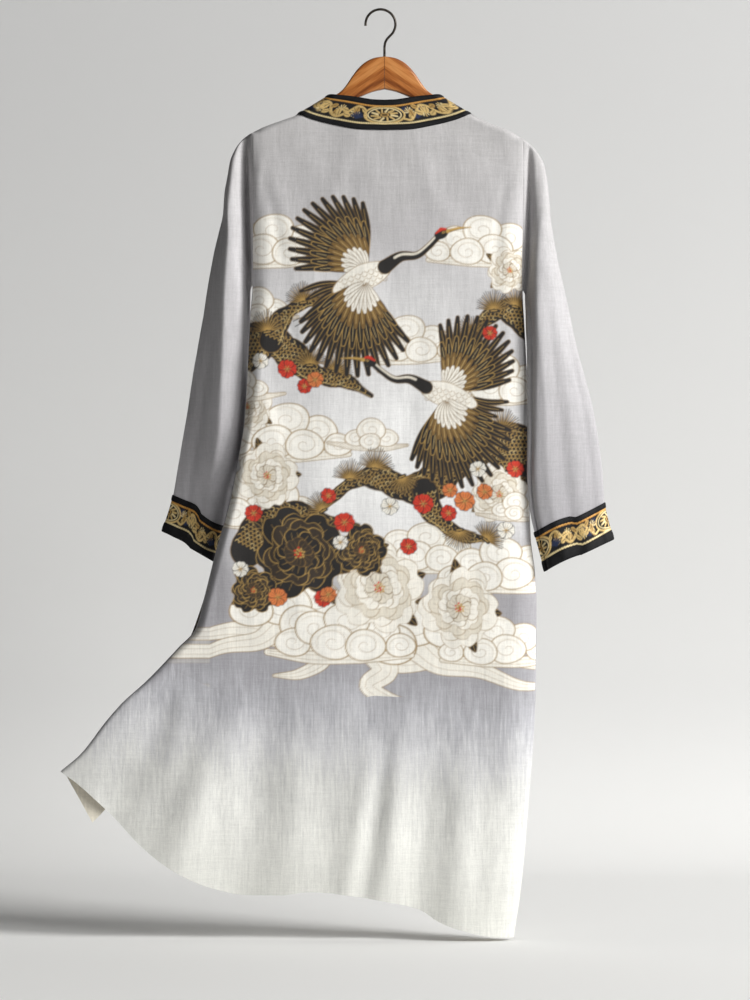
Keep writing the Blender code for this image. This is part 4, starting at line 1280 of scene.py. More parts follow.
def linen_material(name, dye_and_painted_light):
    """Slubbed linen, dipped from grey to off-white towards the hem, with a printed layer. For the
    inside, the tones towards the hem are paler as painted light.
    """
    look = Look(name, 0.86)
    look.set("Sheen Weight", 0.12)
    look.set("Sheen Roughness", 0.5)
    x, _, z = look.axes(look.coords)

    streak = look.noise((330.0, 330.0, 24.0), 2.5, 0.6)
    slub = look.noise((26.0, 26.0, 420.0), 2.0, 0.55)
    cloudy = look.noise((17.0, 17.0, 9.0), 3.0, 0.6)
    broad = look.noise((110.0, 110.0, 15.0), 2.0, 0.55)
    thread_x = look.noise((1300.0, 1300.0, 170.0), 0.0)
    thread_z = look.noise((170.0, 170.0, 1300.0), 0.0)
    warp, weft = [(way * (TURN_EACH_MM / WEAVE_PITCH)).calc("SINE") for way in (x, z)]
    weave = warp * weft

    drift = (streak - 0.5) * FADE_STREAK + (cloudy - 0.5) * FADE_CLOUD
    place = (z * -1.0 + drift + x * FADE_SLANT) / FADE_LENGTH
    colour = look.ramp(place, [(drop * MM / FADE_LENGTH, srgb(*tone)) for drop, tone in dye_and_painted_light])
    paint, cover = look.paint()
    colour = look.mixed(1.0, look.mixed(cover, colour, BLACK), paint, "ADD")

    tone = (streak - 0.5) * 0.36 + 1.0
    for source, share in (
        (broad, 0.20), (slub, 0.18), (cloudy, 0.20), (thread_x, 0.12), (thread_z, 0.12),
    ):
        tone += (source - 0.5) * share
    look.set("Base Color", look.shaded(colour, tone + weave * 0.02))

    height = streak * 0.5
    for source, share in ((slub, 0.4), (thread_x, 0.35), (thread_z, 0.35), (weave, 0.06)):
        height += source * share
    look.emboss(height, 0.55, 0.0004)
    return look.mat


def brocade_material():
    """Woven gold on black: the paint's alpha says where the gold threads lie."""
    look = Look("brocade", 0.5)
    look.set("Specular IOR Level", 0.3)
    paint, gold = look.paint()
    rib = look.noise((900.0, 900.0, 900.0), 1.0)
    blotch = look.noise((60.0, 60.0, 60.0))
    look.set("Base Color", look.shaded(paint, (rib - 0.5) * 0.9 + 0.8 + blotch * 0.45))
    look.set("Metallic", gold * 0.3)
    look.set("Roughness", 0.72 - gold * 0.3)
    look.emboss(gold * 0.8 + rib * 0.5, 0.6, 0.0005)
    return look.mat


def binding_material():
    """Near-black satin with a fine slanted rib."""
    look = Look("binding", 0.62)
    look.set("Specular IOR Level", 0.22)
    x, _, z = look.axes(look.coords)
    rib = ((x + z * 0.7) * (TURN_EACH_MM / BINDING_RIB)).calc("SINE")
    worn = look.noise((220.0, 220.0, 220.0), 3.0, 0.6)
    stops = [(0.3, srgb(7, 7, 9)), (0.62, srgb(15, 15, 18)), (0.8, srgb(28, 28, 32))]
    look.set("Base Color", look.ramp(worn, stops))
    look.emboss(rib * 0.4 + worn, 0.4, 0.0003)
    return look.mat


def wood_material():
    """Varnished wood whose grain runs down each arm, mirrored about the joint, with painted shade
    darkening its rounded rims.
    """
    look = Look("wood", 0.34)
    look.set("Coat Weight", 0.35)
    look.set("Coat Roughness", 0.18)
    x, y, z = look.axes(look.coords)
    out = abs(x - CENTRE_X * MM)
    cosine, sine = math.cos(GRAIN_TURN), math.sin(GRAIN_TURN)
    across = z * cosine + out * sine
    along = out * cosine - z * sine
    grain = look.out("ShaderNodeCombineXYZ", 0, {0: across, 1: along, 2: y})
    broad = look.noise((140.0, 11.0, 60.0), 3.0, 0.55, grain)
    fine = look.noise((900.0, 40.0, 300.0), 2.0, 0.6, grain)
    streak = look.noise((330.0, 14.0, 100.0), 2.0, 0.6, grain)
    colour = look.ramp(broad * 0.7 + fine * 0.3, [
        (0.30, srgb(92, 45, 17)), (0.42, srgb(150, 84, 36)), (0.52, srgb(186, 116, 58)),
        (0.64, srgb(206, 142, 82)), (0.78, srgb(160, 92, 42)),
    ])
    dark = look.ramp(streak, [(0.30, WHITE), (0.40, BLACK)])
    joint = out.calc("LESS_THAN", JOINT_LINE * MM)
    # Painted shade: the rims, whose normals turn away from the flat faces, are darkened
    facing = look.axes(look.out("ShaderNodeNewGeometry", "Normal"))[1]
    rounded = 1.0 - abs(facing)
    for factor, shade in (
        (dark * 0.65, (74, 34, 12)), (joint * 0.75, (48, 24, 10)), (rounded * 0.55, (84, 42, 18)),
    ):
        colour = look.mixed(factor, colour, srgb(*shade))
    look.set("Base Color", colour)
    look.emboss(fine, 0.25, 0.0003)
    return look.mat


def steel_material():
    look = Look("steel", 0.38, 0.85)
    spots = look.noise((260.0, 260.0, 260.0), 3.0, 0.6)
    stops = [(0.3, srgb(44, 40, 37)), (0.6, srgb(78, 72, 66)), (0.8, srgb(104, 96, 88))]
    look.set("Base Color", look.ramp(spots, stops))
    look.set("Roughness", spots * 0.3 + 0.26)
    return look.mat


def paper_material():
    """Pale paper that shows from its front side only: paler on the floor and darker up the wall as
    painted light and shade, and darker far out.
    """
    look = Look("paper", 0.92)
    x, y, z = look.axes(look.coords)
    # Painted light and shade: pale on the floor, darkening up the wall
    rise = (z - FLOOR_Z) / WALL_PAINTED_SHADE_HEIGHT
    stops = [(0.0, FLOOR_COLOUR), (0.2, WALL_FOOT), (1.0, WALL_COLOUR)]
    tone = look.ramp(rise, stops, "EASE")
    out = (x * -1.0).calc("MAXIMUM", y * -1.0) - PALE_REACH
    far = look.ramp(out, [(0.0, BLACK), (1.0, WHITE)], "EASE")
    look.set("Base Color", look.mixed(far, tone, FAR_COLOUR))
    back = look.out("ShaderNodeNewGeometry", "Backfacing")
    clear = look.out("ShaderNodeBsdfTransparent")
    both = look.out("ShaderNodeMixShader", 0, {0: back, 1: look.shader.outputs[0], 2: clear})
    plug(look.tree, both, look.tree.nodes["Material Output"].inputs["Surface"])
    return look.mat


linen = linen_material("linen", DYE)
# Inside of the cloth, paler towards the hem as painted light
linen_inside_painted_light = linen_material("linen_inside_painted_light", INSIDE_DYE_AND_PAINTED_LIGHT)
brocade = brocade_material()
binding = binding_material()
wood = wood_material()
steel = steel_material()


def nearest(x, drop, start, end):
    """Distance of each cell from a straight line, and how far along it the nearest point lies."""
    run_x, run_d = end[0] - start[0], end[1] - start[1]
    t = (x - start[0]) * run_x + (drop - start[1]) * run_d
    t = np.clip(t / (run_x**2 + run_d**2 + 1e-9), 0.0, 1.0)
    return np.hypot(x - start[0] - t * run_x, drop - start[1] - t * run_d), t


def resampled(values, count):
    return np.interp(np.linspace(0.0, 1.0, count), np.linspace(0.0, 1.0, len(values)), values)


class Canvas:
    """Flat drawing over the back in x and drop, kept as premultiplied colour and cover."""

    def __init__(self, x_range, drop_range, pitch):
        self.x0, self.d0, self.pitch = x_range[0], drop_range[0], pitch
        self.cols = int((x_range[1] - x_range[0]) / pitch) + 1
        self.rows = int((drop_range[1] - drop_range[0]) / pitch) + 1
        self.data = np.zeros((self.rows, self.cols, 4))

    def window(self, points, margin):
        """Cells round some points: their slices, and their x and drop, empty off the canvas."""
        low, high = points.min(axis=0) - margin, points.max(axis=0) + margin
        c0 = max(0, int((low[0] - self.x0) / self.pitch) - 1)
        c1 = max(c0, min(self.cols, int((high[0] - self.x0) / self.pitch) + 3))
        r0 = max(0, int((low[1] - self.d0) / self.pitch) - 1)
        r1 = max(r0, min(self.rows, int((high[1] - self.d0) / self.pitch) + 3))
        x = self.x0 + np.arange(c0, c1)[None, :] * self.pitch
        drop = self.d0 + np.arange(r0, r1)[:, None] * self.pitch
        return (slice(r0, r1), slice(c0, c1)), x, drop

    def lay(self, place, cover, colour):
        tinted = np.empty(cover.shape + (4,))
        tinted[..., :3] = colour[:3]
        tinted[..., 3] = colour[3] if len(colour) > 3 else 1.0
        part = self.data[place]
        self.data[place] = part * (1.0 - cover[..., None]) + tinted * cover[..., None]

    def fill(self, points, colour, alpha=1.0, soft=1.0):
        """Closed shape through points, by the even-odd rule, with a soft edge."""
        place, x, drop = self.window(points, soft)
        away = np.full((drop.shape[0], x.shape[1]), 1e9)
        odd = np.zeros(away.shape, bool)
        for a, b in zip(points, np.roll(points, -1, axis=0)):
            away = np.minimum(away, nearest(x, drop, a, b)[0])
            if a[1] != b[1]:
                crossing = a[0] + (drop - a[1]) * (b[0] - a[0]) / (b[1] - a[1])
                odd ^= ((a[1] > drop) != (b[1] > drop)) & (x < crossing)
        signed = away * np.where(odd, -1.0, 1.0)
        self.lay(place, alpha * np.clip(0.5 - signed / soft, 0.0, 1.0), colour)

    def stroke(self, points, widths, colour, alpha=1.0, soft=0.8):
        """Line through points whose width changes along it."""
        points = np.asarray(points, float)
        widths = resampled(widths, len(points))
        place, x, drop = self.window(points, widths.max() / 2.0 + soft)
        cover = np.zeros((drop.shape[0], x.shape[1]))
        for a, b, wide_a, wide_b in zip(points, points[1:], widths, widths[1:]):
            away, t = nearest(x, drop, a, b)
            gap = away - (wide_a + (wide_b - wide_a) * t) / 2.0
            cover = np.maximum(cover, np.clip(0.5 - gap / soft, 0.0, 1.0))
        self.lay(place, alpha * cover, colour)

    def glow(self, centre, radii, colour, alpha):
        """Round patch that fades out smoothly."""
        place, x, drop = self.window(np.array([centre]), np.array(radii))
        reach = ((x - centre[0]) / radii[0]) ** 2 + ((drop - centre[1]) / radii[1]) ** 2
        self.lay(place, alpha * step(1.0 - reach), colour)

    def soften(self):
        """Evens out what is finer than the mesh can hold."""
        for axis in (0, 1):
            beside = np.roll(self.data, 1, axis=axis) + np.roll(self.data, -1, axis=axis)
            self.data = 0.25 * beside + 0.5 * self.data

    def at(self, x, drop):
        """Colour and cover at points, read between cells."""
        c = np.clip((x - self.x0) / self.pitch, 0.0, self.cols - 1.001)
        r = np.clip((drop - self.d0) / self.pitch, 0.0, self.rows - 1.001)
        ci, ri = c.astype(int), r.astype(int)
        fc, fr = (c - ci)[..., None], (r - ri)[..., None]
        top = self.data[ri, ci] * (1.0 - fc) + self.data[ri, ci + 1] * fc
        low = self.data[ri + 1, ci] * (1.0 - fc) + self.data[ri + 1, ci + 1] * fc
        return top * (1.0 - fr) + low * fr


def curve(points, per_span=6, closed=False):
    """Smooth line through points."""
    p = np.asarray(points, float)
    if closed:
        p = np.concatenate([p[-1:], p, p[:2]])
    else:
        p = np.concatenate([2.0 * p[:1] - p[1:2], p, 2.0 * p[-1:] - p[-2:-1]])
    t = np.linspace(0.0, 1.0, per_span, endpoint=False)[:, None]
    made = np.concatenate([
        0.5 * (2.0 * b + (c - a) * t + (2.0 * a - 5.0 * b + 4.0 * c - d) * t**2
               + (3.0 * b - 3.0 * c + d - a) * t**3)
        for a, b, c, d in zip(p, p[1:], p[2:], p[3:])
    ])
    return made if closed else np.concatenate([made, p[-2:-1]])


def oval(x, y, wide, tall, turn):
    return np.stack([x + wide * np.cos(turn), y + tall * np.sin(turn)], axis=-1)


def ray(x, y, near, far, turn, squash=1.0, twist=0.0):
    """Spoke between two distances from a centre."""
    ends, turns = np.array([near, far]), np.array([turn, turn + twist])
    return oval(x, y, squash * ends, ends, turns)


def normals(line_points):
    run = np.gradient(line_points, axis=0)
    run = run / np.maximum(np.linalg.norm(run, axis=-1, keepdims=True), 1e-9)
    return np.stack([-run[:, 1], run[:, 0]], axis=-1)


def placed(points, place):
    """Local points scaled, flipped, turned and moved to a motif's place."""
    x, drop, scale, degrees, flip = (*place, 1)[:5]
    p = np.asarray(points, float) * scale * np.array([flip, 1.0])
    c, s = math.cos(math.radians(degrees)), math.sin(math.radians(degrees))
    return np.stack([x + p[..., 0] * c - p[..., 1] * s, drop + p[..., 0] * s + p[..., 1] * c], -1)


def shifted(place, dx, dd):
    """A place with the same scale, turn and flip about a point of the motif."""
    return (*placed((dx, dd), place), *place[2:])


def turned(place, degrees):
    return (*place[:3], place[3] + degrees, *place[4:])


def feather(canvas, ends, width, fill, edge, shaft, bend):
    """Long rounded feather with its edge line and shaft."""
    root, tip = ends
    run = tip - root
    side = np.array([-run[1], run[0]]) * bend
    spine = curve([root, root + run * 0.5 + side, tip], 5)
    shape = width * np.array([0.45, 0.9, 1.0, 0.95, 0.5])
    canvas.stroke(spine, shape + 1.7, edge)
    canvas.stroke(spine, shape, fill)
    canvas.stroke(spine[:-1], [0.9, 0.5], shaft)


def wing(canvas, place, first, last, rows):
    """Fan of feathers from a shoulder: rows of count, inner reach, outer reach, width, inks."""
    for count, inner, outer, width, *inks in rows:
        for n in range(count):
            share = n / (count - 1)
            angle = math.radians(first + (last - first) * share)
            swell = math.sin(math.pi * (0.12 + 0.78 * (1.0 - share)))
            long = inner + (outer - inner) * swell
            ends = placed(ray(0.0, 0.0, 0.16 * long, long, angle), place)
            feather(canvas, ends, width * place[2], *inks, 0.05)


def crane(canvas, place):
    """Flying crane: cream body, dark neck and flight feathers, gold lines, red crown."""
    scale = place[2]
    dark, dim = (INK, GOLD_DARK, GOLD), (INK, GOLD, GOLD_PALE)
    gilt, pale = (GOLD_DARK, INK, GOLD_PALE), (CREAM, GOLD_DARK, GOLD_DARK)

    def draw(points, widths, colour):
        canvas.stroke(placed(points, place), np.array(widths) * scale, colour)

    for turn in (-8.0, 1.0, 10.0, 19.0):
        ends = ray(0.0, 0.0, 30.0, 84.0 - turn * 0.6, math.radians(180.0 - turn))
        feather(canvas, placed(ends, place), 8.0 * scale, *dark, 0.06)
    for shift in (0.0, 5.0):
        legs = curve([(-34, 10 + shift), (-70, 20 + shift), (-112, 24 + shift * 1.6)])
        draw(legs, [2.4, 1.6, 1.2], INK)
    wing(canvas, shifted(place, 8.0, -8.0), -72.0, -158.0, [
        (13, 84.0, 122.0, 10.4, *dark), (11, 60.0, 86.0, 9.4, *dim),
        (10, 40.0, 60.0, 8.6, *gilt), (8, 22.0, 38.0, 8.0, *pale),
    ])
    body = curve([(46, -4), (30, -15), (0, -19), (-34, -8), (-46, 6), (-20, 17), (14, 17),
                  (38, 8)], 6, True)
    canvas.fill(placed(body, place), TAN)
    canvas.fill(placed(body * 0.955, place), CREAM)
    for n in range(5):
        for m in range(7 - n % 2):
            x, y = -30.0 + m * 10.0 + (n % 2) * 5.0, -8.0 + n * 5.0
            arc = [(x - 3.6, y), (x - 1.2, y + 2.6), (x + 1.8, y + 2.6), (x + 4.0, y)]
            draw(curve(arc, 3), [0.8, 0.8], TAN)
    wing(canvas, shifted(place, 2.0, 6.0), 74.0, 168.0, [
        (15, 90.0, 134.0, 11.0, *dark), (13, 64.0, 94.0, 9.8, *dim),
        (11, 44.0, 66.0, 9.0, *gilt), (9, 26.0, 44.0, 8.5, *pale),
    ])
    neck = curve([(36, -4), (62, -10), (84, -4), (104, -10), (124, -20)])
    draw(neck, [21.0, 15.0, 11.0, 9.5, 9.0], GOLD_DARK)
    draw(neck, [19.4, 13.4, 9.4, 8.0, 7.6], INK)
    draw(neck[4:] - np.array([0.0, 2.6]), [3.6, 3.0, 2.6], CREAM_DARK)
    head = curve([(118, -24), (130, -28), (139, -22), (131, -14), (119, -15)], 5, True)
    canvas.fill(placed(head, place), INK)
    for points, widths, colour in (
        ([(120, -24), (129, -27), (135, -25)], [2.0, 5.0, 3.0], RED),
        ([(137, -21), (152, -20), (170, -15)], [5.4, 3.4, 1.2], GOLD),
        ([(140, -19.6), (166, -16)], [0.8, 0.6], INK),
        ([(130, -21.5), (131.6, -21.5)], [2.8, 2.8], GOLD),
        ([(130.6, -21.5), (131.2, -21.5)], [1.4, 1.4], INK),
    ):
        draw(points, widths, colour)


def petals(canvas, place, count, radius, w, start, fill, edge, wave=0.1):
    """Ring of broad petals with notched tips and fine veins."""
    for n in range(count):
        r = radius * (1.0 + wave * math.sin(2.4 * n + start))
        shape = curve([
            (0.0, 0.0), (r * 0.35, -w * 0.45), (r * 0.74, -w * 0.58), (r * 0.98, -w * 0.34),
            (r * 0.93, -w * 0.08), (r * 1.03, w * 0.14), (r * 0.94, w * 0.42),
            (r * 0.7, w * 0.56), (r * 0.33, w * 0.42),
        ], 4, True)
        at = turned(place, start + 360.0 * n / count)
        outline = placed(shape, at)
        canvas.fill(outline, edge)
        middle = outline.mean(axis=0)
        inner = 1.0 - 1.9 / max(r * place[2], 8.0)
        canvas.fill(middle + (outline - middle) * inner, fill)
        for side in (-0.26, 0.0, 0.26):
            vein = [(r * 0.3, w * side * 0.5), (r * 0.58, w * side * 0.9), (r * 0.82, w * side)]
            canvas.stroke(placed(curve(vein, 3), at), [0.5, 0.75, 0.4], edge, 0.7)


def peony(canvas, place, dark=False):
    """Broad flower in cream, or in ink with gold edges, with four leaves behind it."""
    x, drop, scale = place[:3]
    outer, inner, edge = (INK, WARM_INK, GOLD) if dark else (CREAM, CREAM_DARK, TAN)
    for turn, long in ((20.0, 64.0), (138.0, 60.0), (215.0, 66.0), (318.0, 58.0)):
        leaf(canvas, turned(place, turn), long)
    petals(canvas, place, 9, 50.0, 44.0, 0.0, outer, edge)
    petals(canvas, place, 8, 38.0, 36.0, 20.0, inner, edge)
    petals(canvas, place, 7, 27.0, 27.0, 8.0, outer, edge)
    petals(canvas, place, 5, 17.0, 19.0, 33.0, inner, GOLD_DARK)
    for n in range(17):
        reach = 1.6 * math.sqrt(n + 0.5) * scale
        dot = oval(x, drop, reach, reach, n * 2.4)
        canvas.stroke([dot, dot + np.array([0.3, 0.0])], [2.4 * scale], GOLD if n % 3 else RED)


def leaf(canvas, place, long):
    """Pointed dark leaf with gold edge and veins."""
    shape = curve([(16.0, 0.0), (long * 0.5, -11.0), (long * 0.8, -7.0), (long, 0.0),
                   (long * 0.76, 9.0), (long * 0.46, 10.0)], 5, True)
    canvas.fill(placed(shape, place), GOLD_DARK)
    middle = np.array([long * 0.55, 0.0])
    canvas.fill(placed(middle + (shape - middle) * np.array([0.95, 0.86]), place), INK)
    canvas.stroke(placed([(18.0, 0.0), (long * 0.96, 0.0)], place), [1.0, 0.5], GOLD)
    for n in range(1, 6):
        start = 16.0 + (long - 20.0) * n / 6.5
        for side in (-6.2, 6.2):
            canvas.stroke(placed([(start, 0.0), (start + 7.0, side)], place), [0.6, 0.4], GOLD)


def blossom(canvas, place, fill):
    """Small five-petalled flower."""
    petals(canvas, place, 5, 10.0, 10.5, -18.0, fill, INK, 0.04)
    x, drop, scale = place[:3]
    for n in range(6):
        canvas.stroke(ray(x, drop, 0.0, 3.4 * scale, n * math.pi / 3.0), [0.6, 1.1], GOLD)


def needles(canvas, place):
    """Pine tuft: fans of needles in ink, dark gold and gold."""
    scale = place[2]
    for shift, colour, count, reach, wide in (
        (0.0, INK, 25, 30.0, 1.9), (0.5, GOLD_DARK, 18, 28.0, 1.0), (0.0, GOLD, 13, 25.0, 0.8),
    ):
        for n in range(count):
            turn = math.radians(-170.0 + 160.0 * (n + shift) / (count - 1))
            long = reach * (1.0 - 0.16 * abs(math.cos(turn)) + 0.05 * math.sin(5.0 * n))
            ends = placed(ray(0.0, 0.0, 3.0, long, turn), place)
            canvas.stroke(ends, [wide * scale, 0.5 * wide * scale], colour)
    canvas.stroke(placed([(-5.0, 1.0), (5.0, 1.0)], place), [5.0 * scale], INK)
    canvas.stroke(placed([(-4.0, 0.6), (4.0, 0.6)], place), [1.4 * scale], GOLD)


def bough(canvas, points, widths):
    """Gnarled branch in black with gold edges and curved bark marks."""
    spine = curve(points, 8)
    side = normals(spine)
    steps = np.linalg.norm(np.diff(spine, axis=0), axis=-1)
    lengths = np.concatenate([[0.0], np.cumsum(steps)])
    knot = 1.0 + 0.16 * np.sin(lengths / 13.0) + 0.08 * np.sin(lengths / 5.3 + 1.0)
    widths = resampled(widths, len(spine)) * knot
    canvas.stroke(spine, widths + 2.0, GOLD_DARK)
    canvas.stroke(spine, widths, INK)
    for row, at in enumerate(np.arange(6.0, lengths[-1] - 4.0, 5.2)):
        middle = np.array([np.interp(at, lengths, spine[:, k]) for k in (0, 1)])
        out = np.array([np.interp(at, lengths, side[:, k]) for k in (0, 1)])
        way = np.array([out[1], -out[0]])
        wide = float(np.interp(at, lengths, widths))
        count = max(1, int(wide / 7.0))
        for n in range(count):
            off = (n + 0.5 + 0.5 * (row % 2) - count / 2.0) * 6.6
            if abs(off) > wide / 2.0 - 2.2:
                continue
            arc = [middle + out * (off + across) + way * ahead
                   for across, ahead in ((-2.9, -1.4), (-1.6, 1.5), (1.6, 1.5), (2.9, -1.4))]
            tone = GOLD if (row + n) % 4 else GOLD_PALE
            canvas.stroke(curve(arc, 3), [0.75, 1.15, 0.75], tone)
    canvas.stroke(spine + side * (widths * 0.36)[:, None], [1.0, 1.3, 0.6], GOLD_PALE, 0.8)


def cloud(canvas, place, lobes, tails):
    """Scalloped cloud: tails, then lobes of offset x, offset drop, radius, each with curls."""
    for points, widths in tails:
        tail = placed(curve(points, 8), place)
        wide = np.array(widths) * place[2]
        canvas.stroke(tail, wide + 2.2, TAN)
        canvas.stroke(tail, wide, CREAM)
        here = resampled(wide, len(tail))[:, None]
        for share in (-0.22, 0.2):
            canvas.stroke(tail + normals(tail) * here * share, [0.9, 0.6], TAN, 0.7)
    round_by = np.radians(np.arange(0, 360, 12))
    for dx, dd, radius in lobes:
        wave = radius * (1.0 + 0.035 * np.sin(3.0 * round_by + dx))
        ring = oval(dx, dd, 1.28 * wave, wave, round_by)
        middle = np.array([dx, dd])
        canvas.fill(placed(middle + (ring - middle) * (1.0 + 1.3 / radius), place), TAN)
        canvas.fill(placed(ring, place), CREAM)
        inner = middle + (ring - middle) * 0.93
        canvas.fill(placed(inner, place), CLOUD_WHITE, 0.55, 3.0)
        lead = math.radians(40.0 * math.sin(dx * 0.7 + dd))
        sweep = np.radians(np.arange(-170, 380, 14)) + lead
        reach = radius * np.linspace(0.84, 0.10, len(sweep))
        coil = oval(dx, dd, 1.28 * reach, reach, sweep)
        canvas.stroke(placed(coil, place), [0.5, 1.2, 1.0, 0.8], TAN, 0.62)
        shade = oval(dx, dd, 1.28 * radius * 0.74, radius * 0.74, sweep[:16])
        canvas.stroke(placed(shade, place), [1.0, 0.12 * radius, 1.0], CREAM_DARK, 0.5, 3.0)


def draw_weave():
    """One repeat of the bands' brocade: rosettes, leaf scrolls and dark fans on black."""
    canvas = Canvas((0.0, WEAVE_REPEAT), (0.0, WEAVE_WIDTH), WEAVE_CELL)
    canvas.data[...] = np.array([*WEAVE_BLACK, 0.0])
    y_mid = WEAVE_WIDTH / 2.0
    for centre in (-WEAVE_REPEAT, 0.0, WEAVE_REPEAT):
        middle = np.array([centre, 0.0])
        for x, y, tall in WEAVE_DARK_FANS:
            for n in range(-3, 4):
                way = -math.radians(90.0 + n * 22.0)
                ends = ray(centre + x, y + 4.0, 0.0, tall, way)
                canvas.stroke(ends, [1.6, 2.4], (*WEAVE_NAVY, 0.0))
        canvas.stroke(curve(middle + np.array(WEAVE_SCROLL), 8), [2.8, 3.8, 2.8], THREAD)
        for x, y, turn in WEAVE_FANS:
            for n in range(-3, 4):
                way = -math.radians(turn + 27.0 * n)
                ends = ray(centre + x, y, 1.6, 8.2 - 0.5 * abs(n), way)
                canvas.stroke(ends, [0.9, 2.7, 1.6], THREAD_PALE if n % 2 else THREAD)
        for x, y, turn, long in WEAVE_LEAVES:
            place = (centre + x, y, long, turn)
            shape = curve([(0.0, 0.0), (0.4, -0.34), (0.8, -0.22), (1.0, 0.0), (0.74, 0.26),
                           (0.36, 0.26)], 4, True)
            tone = THREAD if turn % 4 else THREAD_DARK
            canvas.fill(placed(shape, place), tone, 1.0, 0.5)
            rib = placed([(0.5 / long, 0.0), (0.8, 0.0)], place)
            canvas.stroke(rib, [0.9, 0.6], (*WEAVE_BLACK, 0.0))
        for wide, tall, width, tone in ((30.0, 13.4, 2.6, THREAD), (25.0, 10.6, 1.5, THREAD_PALE)):
            rim = oval(centre, y_mid, wide, tall, np.radians(np.arange(0, 361, 10)))
            canvas.stroke(rim, [width, width], tone)
        for n in range(12):
            way = math.radians(30.0 * n + 8.0)
            petal = ray(centre, y_mid, 5.0, 9.6, way, 2.1, 0.16)
            canvas.stroke(petal, [3.0, 5.4, 2.0], THREAD if n % 3 else THREAD_PALE)
        core = oval(centre, y_mid, 7.0, 3.4, np.radians(np.arange(0, 361, 20)))
        canvas.fill(core, THREAD_DARK, 1.0, 0.5)
        slot = [(centre - 3.0, y_mid), (centre + 3.0, y_mid)]
        canvas.stroke(slot, [2.2, 2.2], (*WEAVE_BLACK, 0.0))
    for x in np.arange(0.0, WEAVE_REPEAT, 3.0):
        for y, tone in ((1.5, THREAD_EDGE), (WEAVE_WIDTH - 1.5, THREAD_PALE)):
            canvas.stroke([(x - 0.4, y + 0.7), (x + 2.2, y - 0.7)], [1.5, 1.5], tone)
    canvas.soften()
    return canvas


def draw_print():
    """Cranes, pine, peonies and clouds in ink, gold, cream and red."""
    canvas = Canvas(PRINT_X, PRINT_DROP, PRINT_PITCH)
    for x, drop, wide, tall, alpha in PRINT_GROUND:
        canvas.glow((x, drop), (wide, tall), BLEACH, alpha)
    for spot, kind in CLOUDS:
        cloud(canvas, spot, *CLOUD_KINDS[kind])
    for points, widths in BOUGHS:
        bough(canvas, points, widths)
    for draw, spots, *options in (
        (needles, NEEDLES), (peony, PEONIES_BEHIND), (crane, CRANES), (peony, PEONIES),
        (peony, DARK_PEONIES, True), (blossom, RED_BLOSSOMS, RED),
        (blossom, EMBER_BLOSSOMS, EMBER), (blossom, PALE_BLOSSOMS, CREAM),
    ):
        for spot in spots:
            draw(canvas, spot, *options)
    for spot, kind in CLOUDS_BEFORE:
        cloud(canvas, spot, *CLOUD_KINDS[kind])
    canvas.soften()
    return canvas


def make_print(canvas):
    """Printed layer of each back half, just proud of the cloth and on the same form."""
    v = np.linspace(PRINT_TOP, PRINT_FOOT, PRINT_ROWS) / (CLOTH_HEM - CLOTH_TOP)
    ends = np.minimum(np.arange(PRINT_ROWS), np.arange(PRINT_ROWS)[::-1]) / PRINT_TAPER
    lift = (PRINT_LIFT * (2.0 * step(ends) - 1.0))[:, None, None]
    made = {}
    for side, grid, half in (
        ("left", back_left_grid, -LEFT_SHOULDER_X), ("right", back_right_grid, RIGHT_SHOULDER_X),
    ):
        even = np.linspace(PRINT_EDGE[-1], half, PRINT_COLUMNS)[1:]
        near = np.concatenate([PRINT_EDGE, even]) / half
        points, flat = grid(v, near if side == "left" else 1.0 - near[::-1])
        paint = canvas.at(flat[..., 0], flat[..., 1])
        made[side] = skin(
            f"back_{side}_print", points, -1, linen, flat * MM, "linen", paint, lift=lift
        )
    return made


def half_round(t):
    return np.sqrt(np.maximum(0.0, 1.0 - (2.0 * t - 1.0) ** 2))


def make_panels():
    v = cloth_rows()
    on = ["hanger_left_arm", "hanger_right_arm"]
    prints = make_print(draw_print())
    for side, grid in (("left", back_left_grid), ("right", back_right_grid)):
        points, uv = grid(v)
        obj = cloth(f"back_{side}_cloth", points, -1, linen, uv, "linen", lining=linen_inside_painted_light)
        declare(obj, points, [f"back_{side}"], on, with_pieces=[prints[side]])
    for side, outward in (("left", 1), ("right", -1)):
        points, uv = front_grid(side == "left", v)
        name = f"front_{side}_cloth"
        obj = cloth(name, points, outward, linen, uv, "linen", lining=linen_inside_painted_light)
        declare(obj, points, [f"front_{side}"], on)


def make_cuff(side, outward, weave, grid):
    """Cuff band in brocade between its two bindings."""
    made = {}
    for piece, start, end in CUFF_PIECES:
        name = f"{piece}_{side}_cloth"
        if piece == "cuff_band":
            stations = np.linspace(start - LAP, end + LAP, CUFF_ROWS)
            points, uv = grid(stations, CUFF_COLUMNS, CUFF_PROUD)
            girth = uv[..., 0].max(axis=1, keepdims=True) * CUFF_COLUMNS / (CUFF_COLUMNS - 1)
            around = uv[..., 0] / girth * CUFF_REPEATS * WEAVE_REPEAT
            down = (uv[..., 1] - start) / (end - start) * WEAVE_WIDTH
            paint = weave.at(around % WEAVE_REPEAT, np.clip(down, 0.0, WEAVE_WIDTH))
            obj = cloth(name, points, outward, brocade, uv, "brocade", closed=True, paint=paint)
            band = obj, points
        else:
            t = np.linspace(0.0, 1.0, CUFF_EDGE_ROWS)[:, None]
            proud = BINDING_PROUD + BINDING_ROUND * half_round(t)
            stations = np.linspace(start, end, CUFF_EDGE_ROWS)
            points, uv = grid(stations, CUFF_COLUMNS, proud)
            obj = cloth(name, points, outward, binding, uv, "binding", BINDING_THICK, True)
            made[piece] = obj
        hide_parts(f"{piece}_{side}")
    edges = [made["cuff_edge_top"], made["cuff_edge_hem"]]
    declare(*band, [], [f"sleeve_{side}_cloth"], closed=True, with_pieces=edges)


